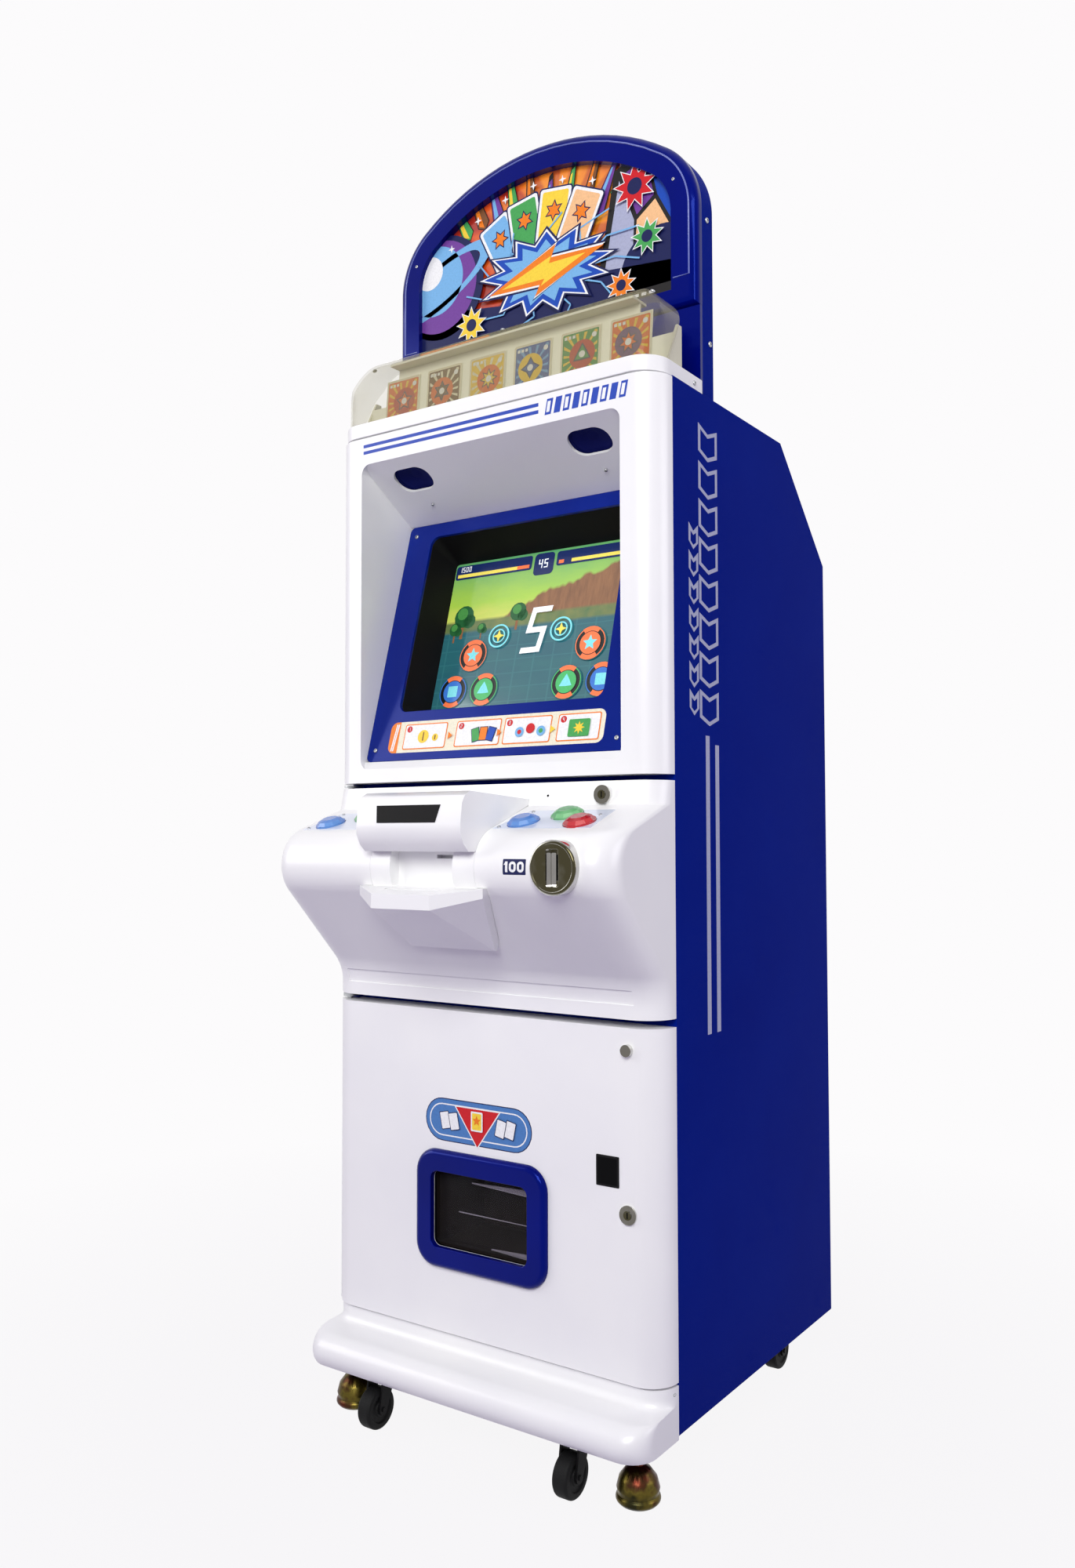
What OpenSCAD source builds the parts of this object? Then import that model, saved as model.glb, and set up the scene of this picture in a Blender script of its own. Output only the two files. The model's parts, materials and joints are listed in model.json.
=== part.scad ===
// Arcade card game machine: a narrow upright cabinet with hinged white front shells,
// a tilted monitor, a card scanner, a coin entry, a card outlet and a lit arched sign.
// X runs to the right seen from the front, the front faces -Y, Z is up, the floor is Z = 0.
// Pieces are drawn with Y = 0 at the front edge of the side panels, and place() centres them.

/* [Cabinet] */
// Overall width
body_w = 500; // [470:5:560]
// Depth of the side panels
body_d = 455; // [440:5:520]
// Height of the cabinet underside above the floor
floor_gap = 70; // [70:1:72]
// Height of the side panels
body_h = 1207; // [1200:1:1285]
// Thickness of the side panels
side_t = 15; // [12:1:18]
// Thickness of the back panel
back_t = 9; // [6:1:15]
// How far the back panel is set in
back_inset = 3; // [2.5:0.5:8]
// Thickness of the top panel
top_t = 12; // [8:1:15]
// Run of the rear slope
slope_run = 148; // [100:1:160]
// Drop of the rear slope
slope_drop = 143; // [100:1:160]

/* [Base] */
// Thickness of the base plate
base_t = 12; // [10:1:14]
// Height of the rails on the base plate
rail_h = 30; // [20:1:40]
// Width of the rails on the base plate
rail_w = 20; // [14:1:30]
// How far the base plate reaches forward under the base cover
tongue_out = 78; // [76:1:79]
// Height of the base cover's lower edge
cover_z0 = 66; // [66:1:67]
// Height of the base cover's top
cover_z1 = 126; // [125:1:130]
// How far the base cover's top stands in front
cover_top_out = 33; // [32:1:36]
// How far the base cover's bulge stands in front
cover_out = 90; // [88:1:94]
// Radius of the bulge
bulge_r = 22; // [21:1:22]
// Height of the bulge's centre
bulge_z = 81; // [80:1:82]
// Radius of the hollow above the bulge
cove_r = 10; // [8:1:10]

/* [Front frame] */
// Depth of the steel front frame
frame_t = 12; // [8:1:14]
// Width of the frame's side rails
frame_rail = 14; // [10:1:15]
// Height of the frame's lower bar above the base cover's top
sill_h = 14; // [10:1:20]
// How far a cross bar reaches past a seam, upwards and downwards
bar_reach = 11; // [8:1:16]

/* [Front shells] */
// How far the shells stand in front of the side panels
shell_out = 38; // [38:1:42]
// Wall of the shells
shell_t = 4; // [3:0.5:5]
// Radius of the shells' upright front corners
shell_r = 36; // [30:1:37]
// Gap between a shell's rear edge and the frame
shell_gap = 0.5; // [0.4:0.1:1]
// Seam under the door
base_seam = 3; // [3:0.5:5]
// Height of the lower door
door_h = 396; // [390:1:430]
// Seam between the door and the control panel
door_seam = 9.5; // [9:0.5:12]
// Height of the control panel
panel_h = 271; // [268:1:280]
// Seam above the control panel
panel_seam = 7; // [6:0.5:9]
// Gap between the upper bezel and the top edge of the cabinet
bezel_gap = 2; // [1:0.5:4]

/* [Hinges] */
// Radius of the round hinge post at the left edge of a shell
post_r = 10; // [9:0.5:11]
// Distance of the hinge axis in front of the side panels
pivot_out = 14; // [13:0.5:16]
// Radius of the hinge pins
pin_r = 3.95; // [3:0.05:5]
// Radial clearance of pins, stems and axles in their bores
fit_gap = 0.05; // [0.02:0.01:0.1]
// Depth of the pin bores
bore_deep = 14; // [10:1:20]
// Thickness of the hinge plates
hinge_t = 3; // [2:0.5:4]
// Width of the hinge plates
hinge_w = 18; // [14:1:20]
// Gap left under a hanging shell
hang_gap = 0.3; // [0.2:0.1:0.5]

/* [Screen recess] */
// Width of the recess
recess_w = 402; // [390:1:410]
// Height of the recess floor above the bezel's lower edge
recess_lift = 18; // [14:1:24]
// Distance of the recess ceiling's front edge below the bezel's top
recess_drop = 36; // [30:1:44]
// Radius of the recess corners
recess_r = 14; // [8:1:18]
// Depth and height of the bevel at the recess floor
floor_bevel = 10; // [6:1:12]
// Tilt of the monitor from upright
tilt = 15.4; // [12:0.2:18]
// Height of the monitor panel above its opening
mon_head = 21; // [16:1:24]
// Thickness of the monitor panel
mon_t = 5; // [4:0.5:6]
// Gap around the monitor panel
mon_gap = 0.3; // [0.2:0.1:0.5]
// Width of the opening in the monitor panel
mask_w = 318; // [312:1:324]
// Height of the opening in the monitor panel
mask_h = 257; // [250:1:260]
// Lower edge of that opening up the slope
mask_v = 69; // [64:1:72]
// Radius of that opening's corners
mask_r = 13; // [8:1:16]
// Depth of the screen behind the monitor panel's face
screen_deep = 54; // [45:1:60]
// Width of the visible screen
screen_w = 304; // [290:1:306]
// Height of the visible screen
screen_h = 228; // [216:1:230]
// Lower edge of the visible screen up the slope
screen_v = 81; // [78:1:84]
// Thickness of the screen
screen_t = 8; // [6:1:10]
// Wall of the mask
mask_t = 3; // [2:0.5:4]

/* [Speakers] */
// Distance of a speaker from the middle
speaker_x = 139; // [120:1:145]
// Width of a speaker opening
speaker_w = 58; // [50:1:60]
// Height of a speaker opening
speaker_h = 40; // [32:1:42]
// Corner radius of a speaker opening
speaker_r = 18; // [10:1:19]
// Distance of the speaker centre behind the bezel's front
speaker_back = 34; // [32:1:40]

/* [Header] */
// Height of the white header tray
tray_h = 19; // [16:1:24]
// Depth of the header tray
tray_d = 120; // [118:1:120]
// Set-in of the header tray at each side
header_inset = 3; // [2:0.5:5]
// Wall of the header tray
tray_t = 3; // [2:0.5:4]
// Height of the clear cover
clear_h = 96; // [90:1:105]
// Wall of the clear cover
clear_t = 2.5; // [2:0.5:3.5]
// Corner radius of the clear cover seen from the front
clear_r = 50; // [30:1:55]
// Lean of the clear cover's front
clear_lean = 30; // [24:1:34]
// Radius of the clear cover's upper front edge
clear_top_r = 14; // [10:1:16]
// Depth of the clear cover's foot
clear_d = 76; // [72:1:78]
// Lean of the cut at the clear cover's ends
clear_cut = 28; // [20:1:32]
// Width of a display card
card_w = 59; // [54:1:60]
// Height of a display card
card_h = 86; // [78:1:88]
// Thickness of a display card
card_t = 1.2; // [0.8:0.2:2]
// Distance from card to card
card_pitch = 72.5; // [68:0.5:74]
// Number of display cards
card_count = 6; // [4:1:6]
// Lean of the card board from upright
board_lean = 5; // [0:1:6]
// Height of the pocket strip that holds the cards' lower ends
pocket_h = 34; // [28:1:40]

/* [Sign] */
// Half width of the sign housing
sign_a = 240; // [236:1:244]
// Radius of the arch's shoulders
sign_r1 = 105; // [98:1:112]
// Radius of the arch's crown
sign_r2 = 335; // [320:1:380]
// Height of the straight sides above the cabinet top
sign_rise = 244; // [236:1:270]
// Set-in of the raised rim from the housing
rim_inset = 12; // [8:1:14]
// Width of the raised rim
rim_w = 24; // [18:1:28]
// Height of the opening's lower edge above the cabinet top
sign_sill = 143; // [135:1:150]
// Distance of the rim's front behind the side panels' front edge
sign_y = 83; // [83:1:90]
// Depth of the rounded shoulder behind the rim
shoulder_d = 8; // [6:1:9]
// Depth of the front moulding
sign_front_t = 14; // [13.6:0.2:16]
// Depth of the housing behind the moulding
housing_d = 29; // [26:1:40]
// Wall of the sign housing
housing_t = 3; // [2:0.5:4]
// Thickness of the art panel
art_t = 2.5; // [2:0.5:3]
// Radius of the lamp tubes
tube_r = 8; // [6:0.5:9]
// Height of a lamp above the sill and above the top of the straight sides
lamp_up = 40; // [36:1:44]
// Distance of a lamp's end from the side of the housing
lamp_side = 52; // [48:1:60]

/* [Control panel] */
// How far the upright parts of the control panel stand in front
strip_out = 40; // [40:1:42]
// Height of the strip above the deck
strip_h = 27.5; // [26:0.5:32]
// Lean of the strip from top to deck
strip_lean = 7; // [4:0.5:9]
// Slope of the button deck
deck_tilt = 20; // [17:1:22]
// How far the nose stands in front
nose_out = 154; // [148:1:158]
// Radius of the nose
nose_r = 47; // [42:1:50]
// Radius of the cove under the nose
under_r = 57; // [45:1:60]
// Height of the upright skirt under the cove
skirt_h = 10.5; // [8:0.5:16]
// Radius of the control panel's upright front corners
nose_corner = 38; // [30:1:39]
// Distance of the skirt groove from the machine's side
groove_side = 33; // [30:1:50]
// Height of the skirt groove's lower edge above the skirt's lower edge
groove_lift = 16.5; // [15:0.5:20]
// Height of the skirt groove
groove_h = 17; // [12:1:20]
// Depth of the skirt groove
groove_t = 1.4; // [1:0.2:2]

/* [Buttons] */
// Radius of a button
button_r = 19; // [16:0.5:19.5]
// Height of a button over its plate
button_h = 8; // [6:0.5:10]
// Travel of a button
button_travel = 3.5; // [2:0.5:4]
// Gap around a button
button_gap = 0.4; // [0.3:0.1:0.6]
// Distance of the plate's middle from the machine's middle
plate_x = 151; // [148:1:153]
// Thickness of a button plate
plate_t = 1.6; // [1.2:0.2:2]
// Depth of the seat of a button plate
plate_seat = 1.2; // [0.8:0.2:1.6]
// Height of a switch case under the deck
switch_h = 22; // [20:1:23]
// Radius of a button stem
stem_r = 5; // [4:0.5:6]

/* [Coin entry] */
// Distance of the coin entry from the machine's side
coin_side = 62; // [60:1:66]
// Height of the coin entry above the control panel's lower edge
coin_lift = 173.5; // [168:0.5:178]
// Radius of the coin entry
coin_r = 30; // [26:0.5:31]
// How far the coin entry stands in front of the nose
coin_proud = 8; // [5:0.5:10]
// Width of the coin recess
coin_recess_w = 16; // [12:0.5:18]
// Height of the coin recess
coin_recess_h = 40; // [34:1:42]
// Width of the coin slot
coin_slot_w = 3; // [2.4:0.1:3.4]
// Height of the coin slot
coin_slot_h = 28; // [26:0.5:28]

/* [Card scanner] */
// Half width of the scanner hood
hood_a = 78; // [76:1:84]
// How far the scanner hood's face stands in front
hood_out = 178; // [174:1:182]
// Height of the hood's rear edge above the deck's rear edge
hood_rise = 8; // [6:1:12]
// Half width of the card cavity
cavity_a = 47; // [44:1:50]
// Half width of the scanner tray's lip
lip_a = 43; // [38:1:48]
// How far the scanner tray's lip stands in front
lip_out = 190; // [187:1:194]
// Half width of the scanner tray where it leaves the nose
flare_a = 92; // [88:1:96]
// Height of the tray floor above the control panel's lower edge
floor_lift = 150; // [146:1:154]
// Height of the hood's lip above the tray floor
mouth_h = 40; // [34:1:44]

/* [Card outlet] */
// Width of the outlet opening
outlet_w = 146; // [130:1:150]
// Height of the outlet opening
outlet_h = 93; // [88:1:100]
// Lower edge of the outlet opening above the door's lower edge
outlet_lift = 104.5; // [95:0.5:110]
// Width of the outlet frame's border
outlet_rim = 26; // [20:1:28]
// Corner radius of the outlet frame
outlet_r = 30; // [20:1:34]
// How far the outlet frame stands out of the door
outlet_proud = 8; // [5:0.5:10]
// Depth of the card tray behind the door's front
tray_deep = 108; // [104:1:115]
// Wall of the card tray
tray_wall = 3; // [2:0.5:4]
// Thickness of the clear flap
flap_t = 3; // [2:0.5:4]

/* [Locks] */
// Distance of the door lock from the machine's side
door_lock_side = 42; // [41:1:50]
// Height of the door lock above the door's lower edge
door_lock_lift = 187.5; // [180:0.5:200]
// Distance of the panel lock from the machine's side
panel_lock_side = 68; // [60:1:74]
// Distance of the panel lock below the control panel's top
panel_lock_drop = 16; // [15:0.5:17]
// Radius of a lock barrel
lock_r = 8.5; // [7:0.5:8.5]
// Radius of a lock's chrome head
lock_head_r = 11; // [9.5:0.5:12]
// Radius of the turning lock plug
plug_r = 5; // [4:0.5:6]
// Reach of a lock cam
cam_reach = 22; // [20:1:23]
// Radius of the locking stud near the door's top
stud_r = 7; // [5:0.5:8]

/* [Casters and feet] */
// Radius of a caster wheel
wheel_r = 25; // [22:0.5:25]
// Width of a caster wheel
wheel_w = 20; // [16:1:22]
// Distance of the wheel's axle from the swivel axis
trail = 14; // [10:1:16]
// Radius of a caster's swivel stem
swivel_r = 6; // [5:0.5:8]
// Radius of a caster's axle
axle_r = 3; // [2.5:0.5:4]
// Thickness of the fork's cheeks
cheek_t = 2.5; // [2:0.5:3]
// Distance of a front caster from the machine's side
front_caster_side = 104; // [102:1:120]
// Distance of the front casters' swivel axis in front
front_caster_out = 50; // [46:1:52]
// Distance of a rear caster from the machine's side
rear_caster_side = 55; // [54:1:70]
// Distance of the rear casters' swivel axis from the back
rear_caster_in = 55; // [50:1:80]
// Distance of a levelling foot from the machine's side
foot_side = 37; // [34:1:40]
// Distance of the levelling feet in front
foot_out = 28; // [25:1:32]
// Radius of a levelling foot
foot_r = 25.5; // [22:0.5:26]
// Radius of a levelling foot's stem
foot_stem_r = 6; // [5:0.5:8]

/* [Inner works] */
// Width of the power supply
supply_w = 110; // [100:1:120]
// Depth of the power supply
supply_d = 150; // [140:1:160]
// Height of the power supply
supply_h = 62; // [50:1:64]
// Space between the power supply and the back of the cabinet
supply_back = 32; // [30:1:40]
// Width of the game board
game_w = 240; // [220:1:260]
// Depth of the game board
game_d = 160; // [150:1:170]
// Space between the game board and the back of the cabinet
game_back = 72; // [60:1:80]
// Width of the card dispenser
dispenser_w = 96; // [90:1:104]
// Depth of the card dispenser
dispenser_d = 130; // [120:1:140]
// Height of the card dispenser above the card outlet
dispenser_lift = 70; // [64:1:80]
// Width of the card chute
chute_w = 80; // [70:1:84]
// Width of the cash box
cash_w = 105; // [95:1:110]
// Depth of the cash box
cash_d = 140; // [120:1:150]
// Height of the cash box
cash_h = 150; // [120:1:160]
// Space between the cash box and the side panel
cash_side = 35; // [28:1:40]
// Distance of the cash box behind the side panels' front edge
cash_y = 60; // [56:1:70]
// Space between the power supply and the side panel
supply_side = 30; // [26:1:36]

/* [Hidden] */

$fn = 48;
e = 0.01;
cut = 1;

// Heights of the seams, from the floor up
body_z1 = floor_gap + body_h;
door_z0 = cover_z1 + base_seam;
door_z1 = door_z0 + door_h;
panel_z0 = door_z1 + door_seam;
panel_z1 = panel_z0 + panel_h;
bezel_z0 = panel_z1 + panel_seam;
bezel_z1 = body_z1 - bezel_gap;
base_z1 = floor_gap + base_t;

// Inner faces of the cabinet
inner_x = body_w / 2 - side_t;
back_y = body_d - back_inset;
slope_a = atan2(slope_drop, slope_run);
shelf_t = 9;
shelf_z = panel_z0 + 14;
shelf_y0 = 110;

// The whole machine reaches from the scanner tray's lip to the side panels' rear edge
mid_y = (body_d - lip_out) / 2;

// Hinge axis of the door and the control panel
pivot_x = -body_w / 2 + post_r;

// Screen recess: its lower rear edge is where the tilted monitor panel starts
recess_z0 = bezel_z0 + recess_lift;
recess_z1 = bezel_z1 - recess_drop;
mon_y = -shell_out + floor_bevel;
mon_z = recess_z0 + floor_bevel;
mon_h = mask_v + mask_h + mon_head;
mon_top_y = mon_y + mon_h * sin(tilt);
mon_top_z = mon_z + mon_h * cos(tilt);
ceiling_a = atan2(recess_z1 - mon_top_z, mon_top_y + shell_out);
speaker_y = -shell_out + speaker_back;
speaker_z = recess_z1 - speaker_back * tan(ceiling_a);

// Header and sign
header_z0 = body_z1;
header_z1 = header_z0 + tray_h;
header_a = body_w / 2 - header_inset;
clear_z1 = header_z1 + clear_h;
board_t = 3;
board_y = 18;
board_z0 = header_z0 + tray_t;
clear_front_y = -shell_out + tray_t + 0.3;
clear_back_y = clear_front_y + clear_d;
cheek_y = clear_front_y + 28;
sign_spring = body_z1 + sign_rise;
sign_cx = sign_a - sign_r1;
sign_cz = sign_spring - sqrt(pow(sign_r2 - sign_r1, 2) - pow(sign_cx, 2));
opening_inset = rim_inset + rim_w;
sign_back_y = sign_y + sign_front_t + housing_d;
lamp_zs = [body_z1 + sign_sill + lamp_up, sign_spring + lamp_up];
tube_l = 2 * (sign_a - lamp_side);

// Control panel profile in the YZ plane
panel_back_y = -shell_gap;
deck_y = -strip_out - strip_lean;
deck_z = panel_z1 - strip_h;
nose_y = -nose_out + nose_r;
nose_z = deck_z + ((nose_y - deck_y) * sin(deck_tilt) - nose_r) / cos(deck_tilt);
under_y = -strip_out - under_r;
under_z = panel_z0 + skirt_h;
under_a = 360 + atan2(under_z - nose_z, under_y - nose_y)
    - acos((nose_r + under_r) / norm([under_y - nose_y, under_z - nose_z]));

// Buttons on each plate: sideways from the plate's middle, and down the deck
button_spots = [[-41, -59], [4, -35], [36, -61]];
plate_front_v = -80;
plate_back_v = -19;
plate_front_x = [-71, 61];
plate_back_x = [-57, 59];
case_r = button_r + button_gap + 1;

// Coin entry, card scanner, outlet and locks
coin_x = body_w / 2 - coin_side;
coin_z = panel_z0 + coin_lift;
coin_y = -nose_out - coin_proud;
coin_end_y = nose_y + 10;
coin_neck_r = 16;
floor_z = panel_z0 + floor_lift;
mouth_z = floor_z + mouth_h;
outlet_z0 = door_z0 + outlet_lift;
outlet_z1 = outlet_z0 + outlet_h;
tray_a = outlet_w / 2 + 1.5;
flap_pin_r = 2.5;
flap_gap = 1.5;
flap_y = -28;
flap_z = outlet_z1 - 5;
lock_back = frame_t + 2;
cam_t = 3;
door_lock_x = body_w / 2 - door_lock_side;
door_lock_z = door_z0 + door_lock_lift;
panel_lock_x = body_w / 2 - panel_lock_side;
stud_z = door_z1 - 25;
panel_lock_z = panel_z1 - panel_lock_drop;
panel_seat_y = -strip_out - strip_lean;
panel_head_y = panel_seat_y - 3;

// Frame openings
frame_a = inner_x - frame_rail;
frame_door = [cover_z1 + sill_h, door_z1 - bar_reach];
frame_panel = [panel_z0 + bar_reach, panel_z1 - 4.5];
frame_upper = [bezel_z0 + bar_reach, body_z1 - top_t - 12];

// Casters
crown_gap = 0.3;
crown_t = 3.4;
crown_z1 = floor_gap - crown_gap;
crown_z0 = crown_z1 - crown_t;
wheel_gap = 0.6;

// Colours
blue = [0.05, 0.12, 0.55];
deep_blue = [0.03, 0.06, 0.36];
white = [0.94, 0.94, 0.96];
ivory = [0.93, 0.90, 0.80];
black = [0.08, 0.08, 0.09];
steel = [0.62, 0.64, 0.68];
chrome = [0.80, 0.82, 0.85];
zinc = [0.72, 0.62, 0.30];
clear = [0.85, 0.90, 0.95, 0.4];
red = [0.80, 0.05, 0.10];
green = [0.45, 0.78, 0.45];
sky = [0.45, 0.65, 0.92];
board_green = [0.08, 0.35, 0.20];

// Shared shapes

module place() {
    translate([0, -mid_y, 0]) children();
}

// A YZ outline drawn out along X, centred
module extrude_x(w) {
    rotate([90, 0, 90]) linear_extrude(w, center = true) children();
}

// An XZ outline drawn out along Y from y0 to y1
module extrude_y(y0, y1) {
    translate([0, y1, 0]) rotate([90, 0, 0]) linear_extrude(y1 - y0) children();
}

// A box given by its lowest and highest corners
module block(low, high) {
    translate(low) cube(high - low);
}

// A rectangle with round corners, by its lowest and highest corners
module round_rect(low, high, r) {
    translate([low.x + r, low.y]) square([high.x - low.x - 2 * r, high.y - low.y]);
    translate([low.x, low.y + r]) square([high.x - low.x, high.y - low.y - 2 * r]);
    for (x = [low.x + r, high.x - r], y = [low.y + r, high.y - r])
        translate([x, y]) circle(r);
}

// A cylinder along Y from y0 to y1
module rod_y(y0, y1, r) {
    translate([0, y1, 0]) rotate([90, 0, 0]) cylinder(h = y1 - y0, r = r);
}

// A cylinder along X, centred
module rod_x(w, r) {
    rotate([0, 90, 0]) cylinder(h = w, r = r, center = true);
}

// Plan of a front shell: straight sides, flat front and round front corners
module shell_plan(inset, back) {
    a = body_w / 2 - inset;
    r = shell_r - inset;
    f = -shell_out + inset;
    translate([-a, f + r]) square([2 * a, back - f - r]);
    translate([-a + r, f]) square([2 * (a - r), r + e]);
    intersection() {
        for (s = [-1, 1]) translate([s * (a - r), f + r]) circle(r);
        translate([-a, f]) square([2 * a, back - f]);
    }
}

// A front shell: an open-backed box with round front corners
module shell(z0, z1) {
    difference() {
        translate([0, 0, z0]) linear_extrude(z1 - z0) shell_plan(0, -shell_gap);
        translate([0, 0, z0 + shell_t]) linear_extrude(z1 - z0 - 2 * shell_t)
            shell_plan(shell_t, cut);
    }
}

// The left edge of a hinged shell is cut back to a round post on the hinge axis
module hinge_edge(z0, z1) {
    difference() {
        union() {
            difference() {
                children();
                block([-body_w / 2 - cut, -pivot_out, z0 - cut],
                    [pivot_x + post_r, cut, z1 + cut]);
            }
            translate([pivot_x, -pivot_out, z0]) cylinder(h = z1 - z0, r = post_r);
        }
        for (z = [z0 - cut, z1 - bore_deep])
            translate([pivot_x, -pivot_out, z])
                cylinder(h = bore_deep + cut, r = pin_r + fit_gap);
    }
}

// Frame of the monitor: X across, Y up the slope, Z out of the panel's face
module on_monitor() {
    translate([0, mon_y, mon_z]) rotate([90 - tilt, 0, 0]) children();
}

// Frame of the button deck: X across, Y up the deck, Z out of the deck
module on_deck() {
    translate([0, deck_y, deck_z]) rotate([deck_tilt, 0, 0]) children();
}

// Points of an arc in a plane
function arc(c, r, a0, a1, n) =
    [for (i = [0:n]) let (a = a0 + (a1 - a0) * i / n) c + r * [cos(a), sin(a)]];

// A ring of the loft at height z: round front corners, straight back
function plan_ring(a, front, back, r, z, n) = [
    for (i = [0:n]) let (t = 180 + 90 * i / n)
        [-a + r + r * cos(t), front + r + r * sin(t), z],
    for (i = [0:n]) let (t = 270 + 90 * i / n)
        [a - r + r * cos(t), front + r + r * sin(t), z],
    [a, back, z],
    [-a, back, z]
];

// A solid through a list of rings that run from top to bottom
module loft(rings) {
    n = len(rings[0]);
    m = len(rings);
    polyhedron(
        points = [for (ring = rings) each ring],
        faces = [
            [for (i = [n - 1:-1:0]) i],
            [for (i = [0:n - 1]) (m - 1) * n + i],
            for (k = [0:m - 2], i = [0:n - 1]) let (j = (i + 1) % n)
                each [[k * n + i, k * n + j, (k + 1) * n + j],
                    [k * n + i, (k + 1) * n + j, (k + 1) * n + i]]
        ]);
}

// Cabinet

module side_outline() {
    polygon([[0, floor_gap], [0, body_z1], [body_d - slope_run, body_z1],
        [body_d, body_z1 - slope_drop], [body_d, floor_gap]]);
}

module side_panel(side) {
    color(blue) translate([side * (body_w - side_t) / 2, 0, 0]) extrude_x(side_t) side_outline();
}

module side_panel_left() {
    side_panel(-1);
}

module side_panel_right() {
    side_panel(1);
}

inlet_x = -inner_x + supply_side + supply_w / 2;
inlet_z = base_z1 + supply_h + 13;
inlet_w = 48;
inlet_h = 28;
slope_under_z = body_z1 - slope_drop - top_t / cos(slope_a) + back_inset * tan(slope_a);

module back_panel() {
    slot_w = 70;
    slot_h = 6;
    slot_step = 18;
    vent_z1 = slope_under_z - 10 * slot_h;
    vent_z0 = inlet_z + slot_w;
    color(blue) difference() {
        block([-inner_x, back_y - back_t, base_z1], [inner_x, back_y, slope_under_z]);
        for (i = [0:5], x = [-1:1])
            translate([x * 1.3 * slot_w, 0, vent_z1 - i * slot_step])
                extrude_y(back_y - back_t - cut, back_y + cut)
                    round_rect([-slot_w / 2, 0], [slot_w / 2, slot_h], slot_h / 2 - e);
        for (i = [0:5], x = [1:2])
            translate([x * 1.3 * slot_w, 0, vent_z0 + i * slot_step])
                extrude_y(back_y - back_t - cut, back_y + cut)
                    round_rect([-slot_w / 2, 0], [slot_w / 2, slot_h], slot_h / 2 - e);
        block([inlet_x - inlet_w / 2, back_y - back_t - cut, inlet_z - inlet_h / 2],
            [inlet_x + inlet_w / 2, back_y + cut, inlet_z + inlet_h / 2]);
    }
}

module top_panel() {
    knee = top_t * tan(slope_a / 2);
    color(blue) extrude_x(2 * inner_x) polygon([
        [0, body_z1], [body_d - slope_run, body_z1],
        [body_d - back_inset, body_z1 - slope_drop + back_inset * tan(slope_a)],
        [body_d - back_inset, slope_under_z],
        [body_d - slope_run - knee, body_z1 - top_t], [0, body_z1 - top_t]]);
}

front_caster_x = body_w / 2 - front_caster_side;
rear_caster_x = body_w / 2 - rear_caster_side;
foot_x = body_w / 2 - foot_side;
caster_spots = [[-front_caster_x, -front_caster_out], [front_caster_x, -front_caster_out],
    [-rear_caster_x, body_d - rear_caster_in], [rear_caster_x, body_d - rear_caster_in]];
foot_spots = [[-foot_x, -foot_out], [foot_x, -foot_out]];

module base_frame() {
    tongue_a = inner_x - 45;
    tongue_y = 45;
    color(steel) difference() {
        union() {
            translate([0, 0, floor_gap]) linear_extrude(base_t) polygon([
                [-inner_x, back_y], [-inner_x, -tongue_y], [-tongue_a, -tongue_out],
                [tongue_a, -tongue_out], [inner_x, -tongue_y], [inner_x, back_y]]);
            for (s = [-1, 1])
                translate([s * (inner_x - rail_w / 2) - rail_w / 2, frame_t, base_z1])
                    cube([rail_w, back_y - back_t - frame_t, rail_h]);
        }
        for (p = caster_spots)
            translate([p.x, p.y, floor_gap - cut])
                cylinder(h = base_t + 2 * cut, r = swivel_r + fit_gap);
        for (p = foot_spots)
            translate([p.x, p.y, floor_gap - cut])
                cylinder(h = base_t + 2 * cut, r = foot_stem_r + fit_gap);
    }
}

module front_frame() {
    color(blue) difference() {
        block([-inner_x, 0, base_z1], [inner_x, frame_t, body_z1 - top_t]);
        for (z = [frame_door, frame_panel, frame_upper])
            block([-frame_a, -cut, z[0]], [frame_a, frame_t + cut, z[1]]);
    }
}

module inner_shelf() {
    color(steel) {
        block([-inner_x, shelf_y0, shelf_z], [inner_x, back_y - back_t, shelf_z + shelf_t]);
        for (s = [-1, 1])
            translate([s * (inner_x - rail_w / 2) - rail_w / 2, shelf_y0, shelf_z - rail_w])
                cube([rail_w, back_y - back_t - shelf_y0, rail_w]);
    }
}

// Screen group

// Side view of the space in the recess, running out past the bezel's front
module recess_side() {
    polygon([[-shell_out - cut, recess_z0 - cut], [-shell_out, recess_z0],
        [mon_y, mon_z],
        [mon_y + mon_t * 3 * cos(tilt), mon_z - mon_t * 3 * sin(tilt)],
        [mon_top_y + mon_t * 3 * cos(tilt), mon_top_z - mon_t * 3 * sin(tilt)],
        [mon_top_y, mon_top_z],
        [-shell_out, recess_z1], [-shell_out - cut, recess_z1]]);
}

module recess_space() {
    intersection() {
        extrude_x(recess_w) recess_side();
        extrude_y(-shell_out - cut, mon_top_y + 4 * mon_t)
            round_rect([-recess_w / 2, recess_z0 - cut], [recess_w / 2, recess_z1], recess_r);
    }
}

module recess_walls() {
    a = recess_w + 2 * shell_t;
    lap = mon_t + cut;
    extrude_x(a) polygon([[-shell_out + e, recess_z0 - shell_t],
        [mon_y + shell_t / 2, mon_z - shell_t],
        [mon_y + lap * cos(tilt), mon_z - lap * sin(tilt) - shell_t],
        [mon_top_y + lap * cos(tilt), mon_top_z - lap * sin(tilt) + shell_t],
        [mon_top_y, mon_top_z + 1.2 * shell_t],
        [-shell_out + e, recess_z1 + 1.2 * shell_t]]);
}

module on_speaker(x) {
    translate([x, speaker_y, speaker_z]) rotate([-ceiling_a, 0, 0]) children();
}

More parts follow.
